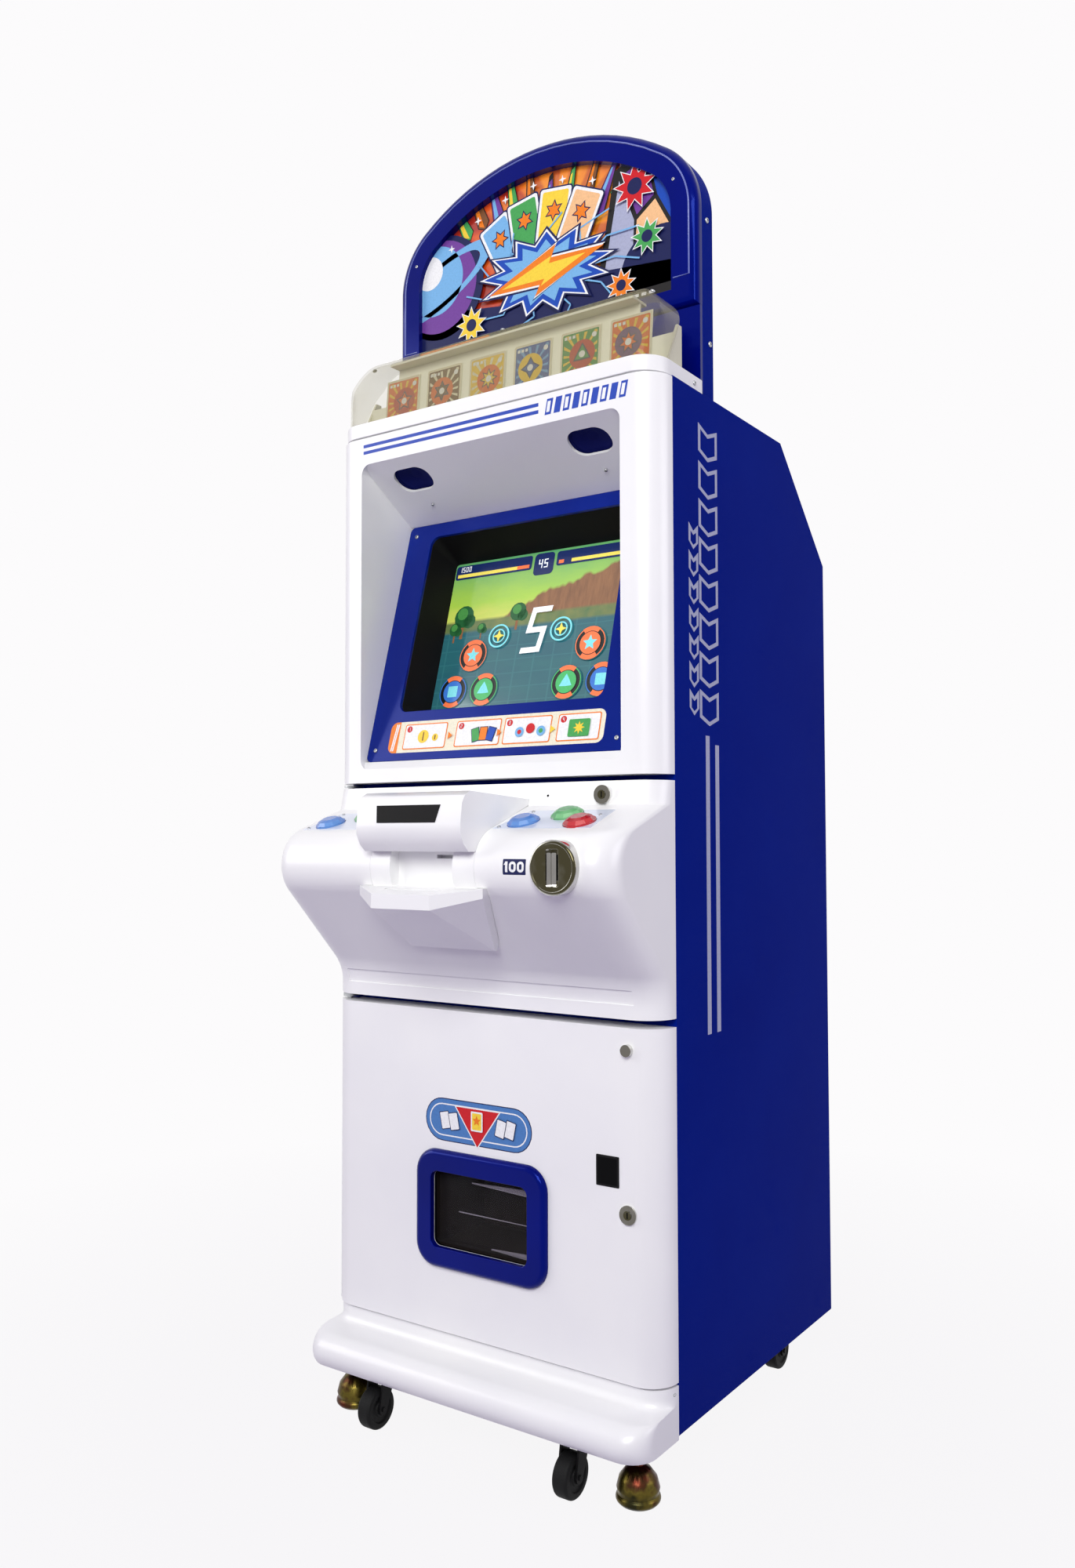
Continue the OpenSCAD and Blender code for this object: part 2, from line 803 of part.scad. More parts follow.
module upper_bezel() {
    color(white) difference() {
        union() {
            shell(bezel_z0, bezel_z1);
            recess_walls();
        }
        recess_space();
        for (s = [-1, 1]) on_speaker(s * speaker_x)
            translate([0, 0, -3 * shell_t]) linear_extrude(6 * shell_t)
                round_rect([-speaker_w / 2, -speaker_h / 2], [speaker_w / 2, speaker_h / 2],
                    speaker_r);
    }
}

module monitor_panel() {
    a = recess_w / 2 - mon_gap;
    color(deep_blue) on_monitor() translate([0, 0, -mon_t]) linear_extrude(mon_t) difference() {
        round_rect([-a, mon_gap], [a, mon_h - mon_gap], 8);
        round_rect([-mask_w / 2, mask_v], [mask_w / 2, mask_v + mask_h], mask_r);
    }
}

mask_flange = 14;

module mask_slice(z, low, high, r) {
    translate([0, 0, z]) linear_extrude(e) round_rect(low, high, r, $fn = 32);
}

module monitor_mask() {
    w0 = mask_w / 2;
    w1 = screen_w / 2;
    color(black) on_monitor() difference() {
        union() {
            translate([0, 0, -mon_t - mask_t]) linear_extrude(mask_t)
                round_rect([-w0 - mask_flange, mask_v - mask_flange],
                    [w0 + mask_flange, mask_v + mask_h + mask_flange], mask_r);
            hull() {
                mask_slice(-mon_t - e, [-w0 - mask_t, mask_v - mask_t],
                    [w0 + mask_t, mask_v + mask_h + mask_t], mask_r, $fn = 32);
                mask_slice(-screen_deep, [-w1 - mask_t, screen_v - mask_t],
                    [w1 + mask_t, screen_v + screen_h + mask_t], 8, $fn = 32);
            }
        }
        hull() {
            mask_slice(-mon_t + e, [-w0, mask_v], [w0, mask_v + mask_h], mask_r, $fn = 32);
            mask_slice(-screen_deep - e, [-w1, screen_v], [w1, screen_v + screen_h], 6, $fn = 32);
        }
    }
}

screen_lap = 5;

module monitor_screen() {
    a = screen_w / 2 + screen_lap;
    color([0.1, 0.45, 0.35]) on_monitor() translate([0, 0, -screen_deep - screen_t])
        linear_extrude(screen_t)
            round_rect([-a, screen_v - screen_lap], [a, screen_v + screen_h + screen_lap], 4);
}

module monitor_housing() {
    a = screen_w / 2 + 16;
    v0 = screen_v - 14;
    v1 = screen_v + screen_h + 14;
    z0 = -screen_deep - screen_t;
    case_d = 34;
    arm = 30;
    color(black) on_monitor() {
        difference() {
            translate([0, 0, z0 - case_d]) linear_extrude(case_d)
                round_rect([-a, v0], [a, v1], 6);
            for (x = [-110:20:110])
                translate([x - 3, v0 + 40, z0 - case_d - cut]) cube([6, v1 - v0 - 80, 6]);
        }
        for (s = [-1, 1], v = [v0 + 30, v1 - 30 - arm])
            translate([s * (a + inner_x) / 2 - (inner_x - a) / 2, v, z0 - case_d])
                cube([inner_x - a, arm, 5]);
    }
}

module speakers() {
    ring_r = 31;
    color(black) for (s = [-1, 1]) on_speaker(s * speaker_x)
        translate([0, 0, shell_t + 1]) rotate_extrude()
            polygon([[0, 6], [8, 6], [24, 1], [26, 1], [26, 0], [ring_r, 0], [ring_r, 3],
                [27, 3], [15, 12], [15, 17], [0, 17]]);
}

// Header

module header_outline(inset, y0, y1) {
    a = header_a - inset;
    r = shell_r - inset;
    f = y0 + inset;
    translate([-a, f + r]) square([2 * a, y1 - f - r]);
    translate([-a + r, f]) square([2 * (a - r), r + e]);
    for (s = [-1, 1]) translate([s * (a - r), f + r]) circle(r);
}

module header_tray() {
    color(white) difference() {
        translate([0, 0, header_z0]) linear_extrude(tray_h)
            header_outline(0, -shell_out, -shell_out + tray_d);
        translate([0, 0, header_z0 + tray_t]) linear_extrude(tray_h)
            header_outline(tray_t, -shell_out, -shell_out + tray_d - tray_t);
    }
}

// Side view of the clear cover, shrunk by w, open at its foot and its back
module clear_side(w) {
    front = clear_front_y + w;
    top = clear_z1 - w;
    r = clear_top_r - w;
    open = w > 0 ? cut : 0;
    polygon(concat([[front, board_z0 - open], [front, header_z1]],
        arc([clear_front_y + clear_lean + clear_top_r, clear_z1 - clear_top_r], r, 165, 90, 8),
        [[clear_back_y + open, top], [clear_back_y + open, board_z0 - open]]));
}

module clear_front(w) {
    a = header_a - tray_t - 0.3 - w;
    round_rect([-a, header_z1 - clear_r - tray_h], [a, clear_z1 - w], clear_r - w);
}

module clear_body(w) {
    intersection() {
        extrude_x(body_w) clear_side(w);
        extrude_y(-shell_out - cut, sign_y) clear_front(w);
        translate([0, 0, header_z0]) linear_extrude(clear_z1)
            header_outline(tray_t + 0.3 + w, -shell_out, sign_y);
    }
}

module clear_cover() {
    top_cut = clear_z1 - clear_t - 8;
    run = (top_cut - board_z0) * tan(clear_cut);
    color(clear) difference() {
        clear_body(0);
        clear_body(clear_t);
        extrude_x(body_w) polygon([[cheek_y, board_z0 - cut], [cheek_y + run, top_cut],
            [sign_y, top_cut], [sign_y, board_z0 - cut]]);
    }
}

board_a = header_a - tray_t - clear_t - 1;
board_top = clear_z1 - clear_t - 0.3;

module on_board() {
    translate([0, board_y, board_z0]) rotate([90 - board_lean, 0, 0]) children();
}

module card_board() {
    cheek_t2 = 3;
    flange_a = board_a - clear_r + 2;
    foot = board_t * tan(board_lean);
    wide_a = board_a - cheek_t2 / 2;
    lap = 1;
    height = (board_top - board_z0 - board_t / 2) / cos(board_lean);
    color(ivory) {
        on_board() {
            translate([0, 0, -board_t]) linear_extrude(board_t) {
                translate([-wide_a, foot]) square([2 * wide_a, height - clear_r]);
                translate([-flange_a + lap, foot]) square([2 * (flange_a - lap), height - foot]);
            }
            difference() {
                translate([-wide_a + lap / 2, 0, 0])
                    cube([2 * wide_a - lap, pocket_h, 2 * card_t + 1.5]);
                translate([-card_pitch * card_count / 2, 7, 0])
                    cube([card_pitch * card_count, pocket_h, card_t + 0.4]);
            }
        }
        block([-flange_a, clear_front_y + clear_lean + clear_top_r, board_top - board_t],
            [flange_a, clear_back_y, board_top]);
        block([-board_a, board_y + board_t / 2, board_z0],
            [board_a, clear_back_y, board_z0 + board_t]);
        for (s = [-1, 1]) translate([s * (board_a - cheek_t2 / 2), 0, 0]) extrude_x(cheek_t2)
            polygon([[cheek_y + 1, board_z0], [clear_back_y, board_z0],
                [clear_back_y, board_z0 + 70],
                [cheek_y + 1 + 70 * tan(clear_cut), board_z0 + 70]]);
    }
}

module display_cards() {
    color([0.95, 0.75, 0.25]) on_board() for (i = [0:card_count - 1])
        translate([(i - (card_count - 1) / 2) * card_pitch - card_w / 2, 7.3, 0.2])
            cube([card_w, card_h, card_t]);
}

// Sign

// Points of a three-centred arch down to height z0, shrunk by inset
function arch_points(inset, z0) = let (
    a = sign_a - inset,
    r1 = sign_r1 - inset,
    t = atan2(sign_cx, sign_spring - sign_cz),
    crown = arc([0, sign_cz], sign_r2 - inset, 90 - t, 90 + t, crown_facets))
    concat([[-a, z0], [a, z0]],
        arc([sign_cx, sign_spring], r1, 0, 90 - t, corner_facets),
        [for (i = [1:crown_facets - 1]) crown[i]],
        arc([-sign_cx, sign_spring], r1, 90 + t, 180, corner_facets));

function arch_ring(y, inset, z0) = [for (p = arch_points(inset, z0)) [p[0], y, p[1]]];

module arch(inset, z0) {
    polygon(arch_points(inset, z0));
}

crown_facets = 20;
corner_facets = 22;
rim_z0 = body_z1 + sign_sill - rim_w;
rebate = 6;
skirt_in = 0.2;

module sign_frame() {
    steps = 5;
    y1 = sign_y + sign_front_t;
    color(deep_blue) difference() {
        union() {
            loft(concat(
                [for (i = [0:steps]) let (a = 90 * i / steps)
                    arch_ring(sign_y + shoulder_d * (1 - cos(a)), rim_inset * (1 - sin(a)),
                        rim_z0 + rim_inset * (1 - sin(a)))],
                [arch_ring(y1, 0, rim_z0)]));
            block([-sign_a + skirt_in, sign_y + shoulder_d, body_z1],
                [sign_a - skirt_in, y1, rim_z0 + 3]);
        }
        extrude_y(sign_y - cut, y1 + cut) arch(opening_inset, body_z1 + sign_sill);
        extrude_y(y1 - art_t, y1 + cut) arch(opening_inset - rebate, body_z1 + sign_sill - rebate);
    }
}

module sign_housing() {
    y0 = sign_y + sign_front_t;
    color(blue) difference() {
        extrude_y(y0, sign_back_y) arch(0, body_z1);
        extrude_y(y0 - cut, sign_back_y - housing_t) arch(housing_t + 1, body_z1 + housing_t + 1);
    }
}

module sign_art_panel() {
    y1 = sign_y + sign_front_t;
    color([0.9, 0.5, 0.2]) extrude_y(y1 - art_t, y1)
        arch(opening_inset - rebate + 0.3, body_z1 + sign_sill - rebate + 0.3);
}

module sign_lamp() {
    y = sign_y + sign_front_t + 12;
    color([0.95, 0.95, 0.9]) for (z = lamp_zs) translate([0, y, z]) {
        rod_x(tube_l, tube_r);
        for (s = [-1, 1])
            block([s * tube_l / 2 - 6, -9, -11], [s * tube_l / 2 + 6, sign_back_y - housing_t - y, 11]);
    }
}

// Base cover and hinge brackets

base_back = -shell_gap;
bulge_y = -cover_out + bulge_r;
cove_y = -cover_top_out - cove_r;
cove_z = cover_z1 - 11;
cove_a = atan2(cove_z - bulge_z, cove_y - bulge_y)
    + acos((bulge_r + cove_r) / norm([cove_y - bulge_y, cove_z - bulge_z]));

// Side view of the base cover's front, from top to bottom, shrunk by w
function base_profile(w) = concat(
    [[-cover_top_out + w, cover_z1 - w]],
    arc([cove_y, cove_z], cove_r + w, 0, cove_a - 180, 7),
    arc([bulge_y, bulge_z], bulge_r - w, cove_a, 180 + asin((bulge_z - cover_z0) / (bulge_r - w)), 12));

module base_solid(w, back) {
    corner = 32;
    loft([for (p = base_profile(w)) plan_ring(body_w / 2 - w, p.x, back, corner - w, p.y, 8)]);
}

module base_cover() {
    color(white) difference() {
        base_solid(0, base_back);
        base_solid(shell_t, cut);
        block([-body_w / 2 + shell_t, -cover_out + 2 * shell_t, cover_z0 - cut],
            [body_w / 2 - shell_t, cut, cover_z0 + e]);
    }
}

plate_under_z = cover_z1 + 0.4;
plate_under_t = base_seam - 0.4 - hang_gap;
plate_mid_z = door_z1 + 2.5;
plate_top_z = panel_z1 + 2.5;

module hinge_plate(z, t) {
    translate([pivot_x, -pivot_out, z]) cylinder(h = t, r = hinge_w / 2);
    block([pivot_x - 5, -pivot_out, z], [pivot_x + hinge_w / 2, 0, z + t]);
}

module hinge_pin(z0, z1) {
    translate([pivot_x, -pivot_out, z0]) cylinder(h = z1 - z0, r = pin_r);
}

module hinge_brackets() {
    pin_in = bore_deep - 2;
    collar_r = 6.5;
    color(steel) {
        hinge_plate(plate_under_z, plate_under_t);
        hinge_plate(plate_mid_z, hinge_t + 1);
        hinge_plate(plate_top_z, hinge_t);
        hinge_pin(plate_under_z, door_z0 + pin_in);
        hinge_pin(door_z1 - pin_in, panel_z0 + pin_in);
        hinge_pin(panel_z1 - pin_in, plate_top_z + hinge_t);
        translate([pivot_x, -pivot_out, plate_mid_z + hinge_t])
            cylinder(h = panel_z0 - hang_gap - plate_mid_z - hinge_t, r = collar_r);
    }
}

// Works inside the cabinet

module game_board() {
    z0 = shelf_z + shelf_t;
    a = game_w / 2;
    y0 = back_y - game_back - game_d;
    foot = 8;
    board_z = z0 + foot;
    top = board_z + 2;
    color(board_green) {
        for (x = [-a + 10, a - 10], y = [y0 + 10, y0 + game_d - 10])
            translate([x, y, z0]) cylinder(h = foot, r = foot / 2);
        block([-a, y0, board_z], [a, y0 + game_d, top]);
        block([-a + 30, y0 + 30, top], [-a + 80, y0 + 80, top + 24]);
        block([-10, y0 + 20, top], [a - 30, y0 + 42, top + 16]);
        block([-10, y0 + 70, top], [a / 2, y0 + 130, top + 8]);
        block([a - 40, y0 + 80, top], [a - 6, y0 + 150, top + 12]);
    }
}

module power_supply() {
    x0 = -inner_x + supply_side;
    y1 = back_y - supply_back;
    z1 = base_z1 + supply_h;
    color(steel) difference() {
        block([x0, y1 - supply_d, base_z1], [x0 + supply_w, y1, z1]);
        for (x = [x0 + 15:14:x0 + supply_w - 15])
            block([x, y1 - supply_d + 10, z1 - 4], [x + 6, y1 - supply_d + 70, z1 + cut]);
    }
}

module power_inlet() {
    flange = 5;
    deep = 22;
    color(black) difference() {
        union() {
            block([inlet_x - inlet_w / 2 - flange, back_y, inlet_z - inlet_h / 2 - flange],
                [inlet_x + inlet_w / 2 + flange, back_y + 2, inlet_z + inlet_h / 2 + flange]);
            block([inlet_x - inlet_w / 2 + 0.2, back_y - deep, inlet_z - inlet_h / 2 + 0.2],
                [inlet_x + inlet_w / 2 - 0.2, back_y, inlet_z + inlet_h / 2 - 0.2]);
        }
        block([inlet_x - 13.5, back_y - 16, inlet_z - 9], [inlet_x + 13.5, back_y + 3, inlet_z + 9]);
    }
}

disp_a = dispenser_w / 2;
disp_y = [shelf_y0 + 5, shelf_y0 + 5 + dispenser_d];
disp_z0 = outlet_z1 + dispenser_lift;

module card_dispenser() {
    wall = 3;
    color(steel) difference() {
        block([-disp_a, disp_y[0], disp_z0], [disp_a, disp_y[1], shelf_z]);
        block([-disp_a + wall, disp_y[0] + wall, disp_z0 + 40],
            [disp_a - wall, disp_y[1] - wall, shelf_z - wall]);
        block([-disp_a + 8, disp_y[0] - cut, disp_z0 + 6],
            [disp_a - 8, disp_y[0] + 50, disp_z0 + 12]);
        block([-20, disp_y[0] - cut, disp_z0 + 50], [20, disp_y[0] + wall + cut, shelf_z - 20]);
    }
}

module card_chute() {
    a = chute_w / 2;
    wall = 2;
    y0 = 12;
    z0 = outlet_z1 + 22;
    color(steel) {
        difference() {
            extrude_x(2 * a) polygon([[y0, z0], [disp_y[0] - 0.3, disp_z0 - 30],
                [disp_y[0] - 0.3, disp_z0 + 20], [y0 + 24, z0 + 30], [y0, z0 + 16]]);
            extrude_x(2 * (a - wall)) polygon([[y0 - cut, z0 + wall], [y0, z0 + wall],
                [disp_y[0] - 0.3, disp_z0 - 30 + wall], [disp_y[0], disp_z0 - 30 + wall],
                [disp_y[0] + cut, disp_z0 + 21], [y0 + 24, z0 + 31], [y0 - cut, z0 + 17]]);
        }
        block([-a, disp_y[0] - 0.3, disp_z0 - 30], [a, disp_y[0] + 30, disp_z0]);
    }
}

module cash_box() {
    low = [inner_x - cash_side - cash_w, cash_y, base_z1];
    high = low + [cash_w, cash_d, cash_h];
    wall = 2;
    grip = [low.x + 25, low.y - 16, low.z + 0.6 * cash_h];
    grip_w = cash_w / 2;
    color(steel) {
        difference() {
            block(low, high);
            block(low + [wall, wall, wall], high + [-wall, -wall, cut]);
        }
        difference() {
            block(grip, grip + [grip_w, low.y - grip.y, 12]);
            block(grip + [6, 6, -cut], grip + [grip_w - 6, low.y - grip.y + cut, 12 + cut]);
        }
    }
}

// Lower door

module lower_door() {
    color(white) difference() {
        hinge_edge(door_z0, door_z1) shell(door_z0, door_z1);
        extrude_y(-shell_out - cut, -shell_out + shell_t + cut)
            round_rect([-outlet_w / 2, outlet_z0], [outlet_w / 2, outlet_z1], 10);
        translate([door_lock_x, 0, door_lock_z])
            rod_y(-shell_out - cut, -shell_out + shell_t + cut, lock_r + fit_gap);
        translate([door_lock_x, 0, stud_z])
            rod_y(-shell_out - cut, -shell_out + shell_t + cut, stud_r - 2 + fit_gap);
    }
}

module outlet_frame() {
    low = [-outlet_w / 2, outlet_z0];
    high = [outlet_w / 2, outlet_z1];
    rim = [outlet_rim, outlet_rim];
    steps = 4;
    soft = outlet_proud - 1;
    color(deep_blue) difference() {
        hull() {
            for (i = [0:steps]) let (a = 90 * i / steps, in = soft * (1 - sin(a)))
                translate([0, -shell_out - outlet_proud + soft * (1 - cos(a)) + e, 0])
                    rotate([90, 0, 0]) linear_extrude(e)
                        round_rect(low - rim + [in, in], high + rim - [in, in],
                            outlet_r - in, $fn = 32);
            extrude_y(-shell_out - 1, -shell_out)
                round_rect(low - rim, high + rim, outlet_r, $fn = 32);
        }
        extrude_y(-shell_out - outlet_proud - cut, -shell_out + cut)
            round_rect(low, high, 10);
    }
}

module card_tray() {
    y0 = -shell_out + shell_t;
    y1 = -shell_out + tray_deep;
    low = outlet_z0 - tray_wall;
    color(black) difference() {
        block([-tray_a - tray_wall, y0, low], [tray_a + tray_wall, y1, outlet_z1 + 6]);
        block([-tray_a, y0 - cut, outlet_z0], [tray_a, y1 - tray_wall, outlet_z1 + 6 + cut]);
        translate([0, flap_y, flap_z]) rod_x(2 * (tray_a + tray_wall) + 2, flap_pin_r + fit_gap);
        block([-tray_a, y1 - tray_wall - cut, outlet_z1 - 10], [tray_a, y1 + cut, outlet_z1 + 7]);
    }
}

module outlet_flap() {
    a = outlet_w / 2 - flap_gap;
    color(clear) {
        translate([0, flap_y, flap_z]) rod_x(2 * (tray_a + tray_wall), flap_pin_r);
        block([-a, flap_y - flap_t / 2, outlet_z0 + 3], [a, flap_y + flap_t / 2, flap_z]);
        block([-a, flap_y - flap_t / 2 - 4, outlet_z0 + 3], [a, flap_y - flap_t / 2, outlet_z0 + 6]);
    }
}

module lock_barrel(head_y, seat_y) {
    difference() {
        union() {
            rod_y(head_y, seat_y, lock_head_r);
            rod_y(seat_y - e, lock_back, lock_r);
        }
        rod_y(head_y - cut, lock_back + cut, plug_r + fit_gap);
    }
}

// Plug and cam of a lock, with the cam pointing up
module lock_cam(head_y) {
    difference() {
        rod_y(head_y - 0.6, lock_back + cam_t, plug_r);
        block([-0.7, head_y - cut, -3.4], [0.7, head_y + 6, 3.4]);
    }
    extrude_y(lock_back + 0.3, lock_back + cam_t) {
        circle(plug_r + 1.5);
        translate([-plug_r, 0]) square([2 * plug_r, cam_reach]);
    }
}

door_head_y = -shell_out - 2.5;

module door_lock_barrels() {
    color(chrome) {
        translate([door_lock_x, 0, door_lock_z]) lock_barrel(door_head_y, -shell_out);
        translate([door_lock_x, 0, stud_z]) {
            rod_y(-shell_out - 6, -shell_out, stud_r);
            rod_y(-shell_out - e, -shell_out + 16, stud_r - 2);
        }
    }
}

module door_lock_cam() {
    color(chrome) translate([door_lock_x, 0, door_lock_z]) lock_cam(door_head_y);
}

// Control panel

// Shift of the corner between strip and deck for a wall w measured square to both
strip_n = [-strip_h, strip_lean] / norm([strip_h, strip_lean]);
deck_n = [-sin(deck_tilt), cos(deck_tilt)];
corner_det = strip_n.x * deck_n.y - strip_n.y * deck_n.x;
corner_shift = [strip_n.y - deck_n.y, deck_n.x - strip_n.x] / corner_det;

// Side view of the control panel's front, from top to bottom, shrunk by w
function nose_profile(w) = concat(
    [[-strip_out + w, panel_z1 - w], [deck_y, deck_z] + w * corner_shift],
    arc([nose_y, nose_z], nose_r - w, 90 + deck_tilt, under_a, 14),
    arc([under_y, under_z], under_r + w, under_a - 180, 0, 7),
    [[-strip_out + w, panel_z0 + w]]);

module nose_solid(w, back) {
    loft([for (p = nose_profile(w))
        plan_ring(body_w / 2 - w, p.x, back, nose_corner - w, p.y, 10)]);
}

module button_at(side, i) {
    on_deck() translate([side * plate_x + button_spots[i].x, button_spots[i].y, 0]) children();
}

module each_button() {
    for (side = [-1, 1], i = [0:2]) button_at(side, i) children();
}

module plate_outline(gap) {
    polygon([[plate_front_x[0] + gap, plate_front_v + gap],
        [plate_front_x[1] - gap, plate_front_v + gap],
        [plate_back_x[1] - gap, plate_back_v - gap], [plate_back_x[0] + gap, plate_back_v - gap]]);
}

module control_panel() {
    color(white) difference() {
        union() {
            hinge_edge(panel_z0, panel_z1) difference() {
                nose_solid(0, panel_back_y);
                nose_solid(shell_t, cut);
            }
            translate([panel_lock_x, 0, panel_lock_z])
                rod_y(panel_seat_y, -strip_out + shell_t, lock_head_r);
        }
        for (side = [-1, 1]) on_deck() translate([side * plate_x, 0, -plate_seat])
            linear_extrude(plate_seat + cut) plate_outline(0);
        each_button() translate([0, 0, -2 * shell_t])
            cylinder(h = 4 * shell_t, r = button_r + button_gap);
        translate([coin_x, 0, coin_z]) rod_y(coin_y, nose_y, coin_r + fit_gap);
        translate([panel_lock_x, 0, panel_lock_z])
            rod_y(panel_seat_y - cut, -strip_out + 2 * shell_t, lock_r + fit_gap);
        scanner_hole();
        skirt_groove();
    }
}

module button_plates() {
    color([0.80, 0.86, 0.95]) for (side = [-1, 1]) on_deck() difference() {
        translate([side * plate_x, 0, -plate_seat]) linear_extrude(plate_t) plate_outline(0.3);
        for (b = button_spots) translate([side * plate_x + b.x, b.y, -plate_seat - cut])
            cylinder(h = plate_t + 2 * cut, r = button_r + button_gap);
    }
}

// Card scanner: the hood's side view and the faceted tray under it
hood_back_y = deck_y - 22;
window_high = [-hood_out + 3, deck_z + 1];
window_low = [-hood_out, deck_z - 22];
cheek_back_y = -nose_out + 24;
hood_gap = 0.3;
cavity_end_y = -nose_out + 16;
cavity_in = 1;

module hood_side() {
    polygon([[deck_y + hood_rise * strip_lean / strip_h - hood_gap, deck_z + hood_rise],
        [-hood_out + 18, deck_z + hood_rise + 7],
        [-hood_out + 8, deck_z + hood_rise + 2], window_high, window_low,
        [-hood_out, window_low.y - 11], [-hood_out + 6, mouth_z + 8.5],
        [-hood_out + 15, mouth_z], [cheek_back_y, mouth_z], [cheek_back_y, floor_z],
        [hood_back_y, floor_z],
        [hood_back_y, deck_z - (deck_y - hood_back_y) * tan(deck_tilt) + hood_gap],
        [deck_y - hood_gap, deck_z + hood_gap]]);
}

// The cheeks at both sides of the cavity carry on the round of the nose
module cheek_side() {
    intersection() {
        translate([nose_y, nose_z]) circle(nose_r);
        translate([-nose_out - cut, floor_z - 7]) square([25 + cut, mouth_h + 8]);
    }
}

// The faceted tray under the hood, grown by g
module scanner_tray(g) {
    z_under = floor_z - 76;
    rear_y = -90;
    hull() {
        block([-lip_a - g, -lip_out - g, floor_z - 25 - g], [lip_a + g, -lip_out + 4, floor_z - 8]);
        block([-flare_a - g, -nose_out - 2, floor_z - 12 - g],
            [flare_a + g, -nose_out + 4, floor_z - 1 + g]);
        block([-63 - g, rear_y - 4, z_under - g], [63 + g, rear_y + g, z_under + 8]);
        block([-hood_a - g, rear_y - 4, floor_z - 10], [hood_a + g, rear_y + g, floor_z + g]);
    }
}

module scanner_hole() {
    block([-hood_a, -nose_out - cut, floor_z - 8], [hood_a, hood_back_y + 0.3, deck_z + 30]);
    scanner_tray(0.3);
}

module scanner_unit() {
    end_a = cavity_a - cavity_in;
    color(white) difference() {
        union() {
            extrude_x(2 * (hood_a - 0.3)) {
                hood_side();
                cheek_side();
            }
            scanner_tray(0);
        }
        hull() {
            block([-lip_a + 4, -lip_out + 6, floor_z - 6], [lip_a - 4, -lip_out + 7, floor_z + 20]);
            block([-cavity_a, -nose_out - 6, floor_z], [cavity_a, -nose_out - 5, mouth_z]);
            block([-end_a, cavity_end_y - 1, floor_z], [end_a, cavity_end_y, mouth_z]);
        }
        block([-cavity_a + 4, -nose_out - 14, floor_z - 8], [cavity_a - 4, -nose_out - 9, floor_z + 1]);
        block([end_a - 34, cavity_end_y - 2, mouth_z - 8], [end_a - 3, cheek_back_y + cut, mouth_z - 4]);
    }
}

module scanner_window() {
    run = window_low - window_high;
    lean = atan2(run.y, run.x);
    inset = 1.5;
    length = norm(run) - 2 * inset;
    color(black) translate([0, window_high.x, window_high.y]) rotate([lean + 180, 0, 0])
        translate([0, -inset - length, 0]) linear_extrude(0.8)
            polygon([[-45.5, 0], [41.5, 0], [47.5, length], [-47.5, length]]);
}

// Shallow groove along the skirt, following the cove
module skirt_groove() {
    z0 = panel_z0 + groove_lift;
    r = under_r + groove_t;
    steps = 6;
    extrude_x(body_w - 2 * groove_side) polygon(concat(
        [[under_y + under_r - 15, z0]],
        [for (i = [0:steps]) let (z = z0 + groove_h * i / steps)
            [under_y + sqrt(pow(r, 2) - pow(z - under_z, 2)), z]],
        [[under_y + under_r - 15, z0 + groove_h]]));
}

module coin_entry() {
    slot_y = coin_y + 12;
    color(chrome) translate([coin_x, 0, coin_z]) difference() {
        union() {
            rod_y(coin_y + 3, nose_y - 23, coin_r);
            rod_y(coin_y + 3, coin_end_y, coin_neck_r);
            translate([0, coin_y + 3, 0]) rotate([90, 0, 0]) rotate_extrude()
                polygon(concat([[0, 0], [coin_r, 0]],
                    arc([coin_r - 3, 0], 3, 0, 90, 6), [[0, 3]]));
        }
        rod_y(coin_y - cut, coin_y + 0.8, coin_r - 4);
        extrude_y(coin_y - cut, slot_y)
            round_rect([-coin_recess_w / 2, -coin_recess_h / 2],
                [coin_recess_w / 2, coin_recess_h / 2], 2);
        block([-coin_slot_w / 2, slot_y - cut, -coin_slot_h / 2],
            [coin_slot_w / 2, coin_end_y + cut, coin_slot_h / 2]);
    }
}

module coin_mechanism() {
    color(steel) difference() {
        block([coin_x - 24, coin_end_y, coin_z - 60], [coin_x + 17, 20, coin_z + 16]);
        block([coin_x - 2, coin_end_y - cut, coin_z - 61], [coin_x + 2, -10, coin_z + 14.2]);
        block([coin_x - 16, -4, coin_z - 61], [coin_x + 10, 16, coin_z - 20]);
    }
}

module panel_lock_barrel() {
    color(chrome) translate([panel_lock_x, 0, panel_lock_z])
        lock_barrel(panel_head_y, panel_seat_y);
}

module panel_lock_cam() {
    color(chrome) translate([panel_lock_x, 0, panel_lock_z]) rotate([0, -90, 0])
        lock_cam(panel_head_y);
}

module button_switches() {
    z0 = -shell_t - switch_h;
    color(black) difference() {
        each_button() translate([0, 0, z0]) cylinder(h = switch_h - 0.02, r = case_r);
        each_button() translate([0, 0, z0 + 8]) cylinder(h = switch_h, r = button_r + button_gap);
        each_button() translate([0, 0, z0 - cut]) cylinder(h = switch_h, r = stem_r + 0.3);
    }
}

module button(side, i, tone) {
    sides = 10;
    color(tone) button_at(side, i) {
        cylinder(h = 2, r = button_r);
        translate([0, 0, 2 - e]) cylinder(h = button_h - 4, r1 = button_r - 0.6,
            r2 = button_r - 4, $fn = sides);
        translate([0, 0, button_h - 2 - 2 * e])
            cylinder(h = 2, r1 = button_r - 4, r2 = button_r - 9, $fn = sides);
        translate([0, 0, -8]) cylinder(h = 8 + e, r = button_r);
        translate([0, 0, -shell_t - switch_h + button_travel + 1])
            cylinder(h = switch_h - button_travel, r = stem_r);
    }
}

module button_left_blue() {
    button(-1, 0, sky);
}

module button_left_green() {
    button(-1, 1, green);
}

module button_left_red() {
    button(-1, 2, red);
}

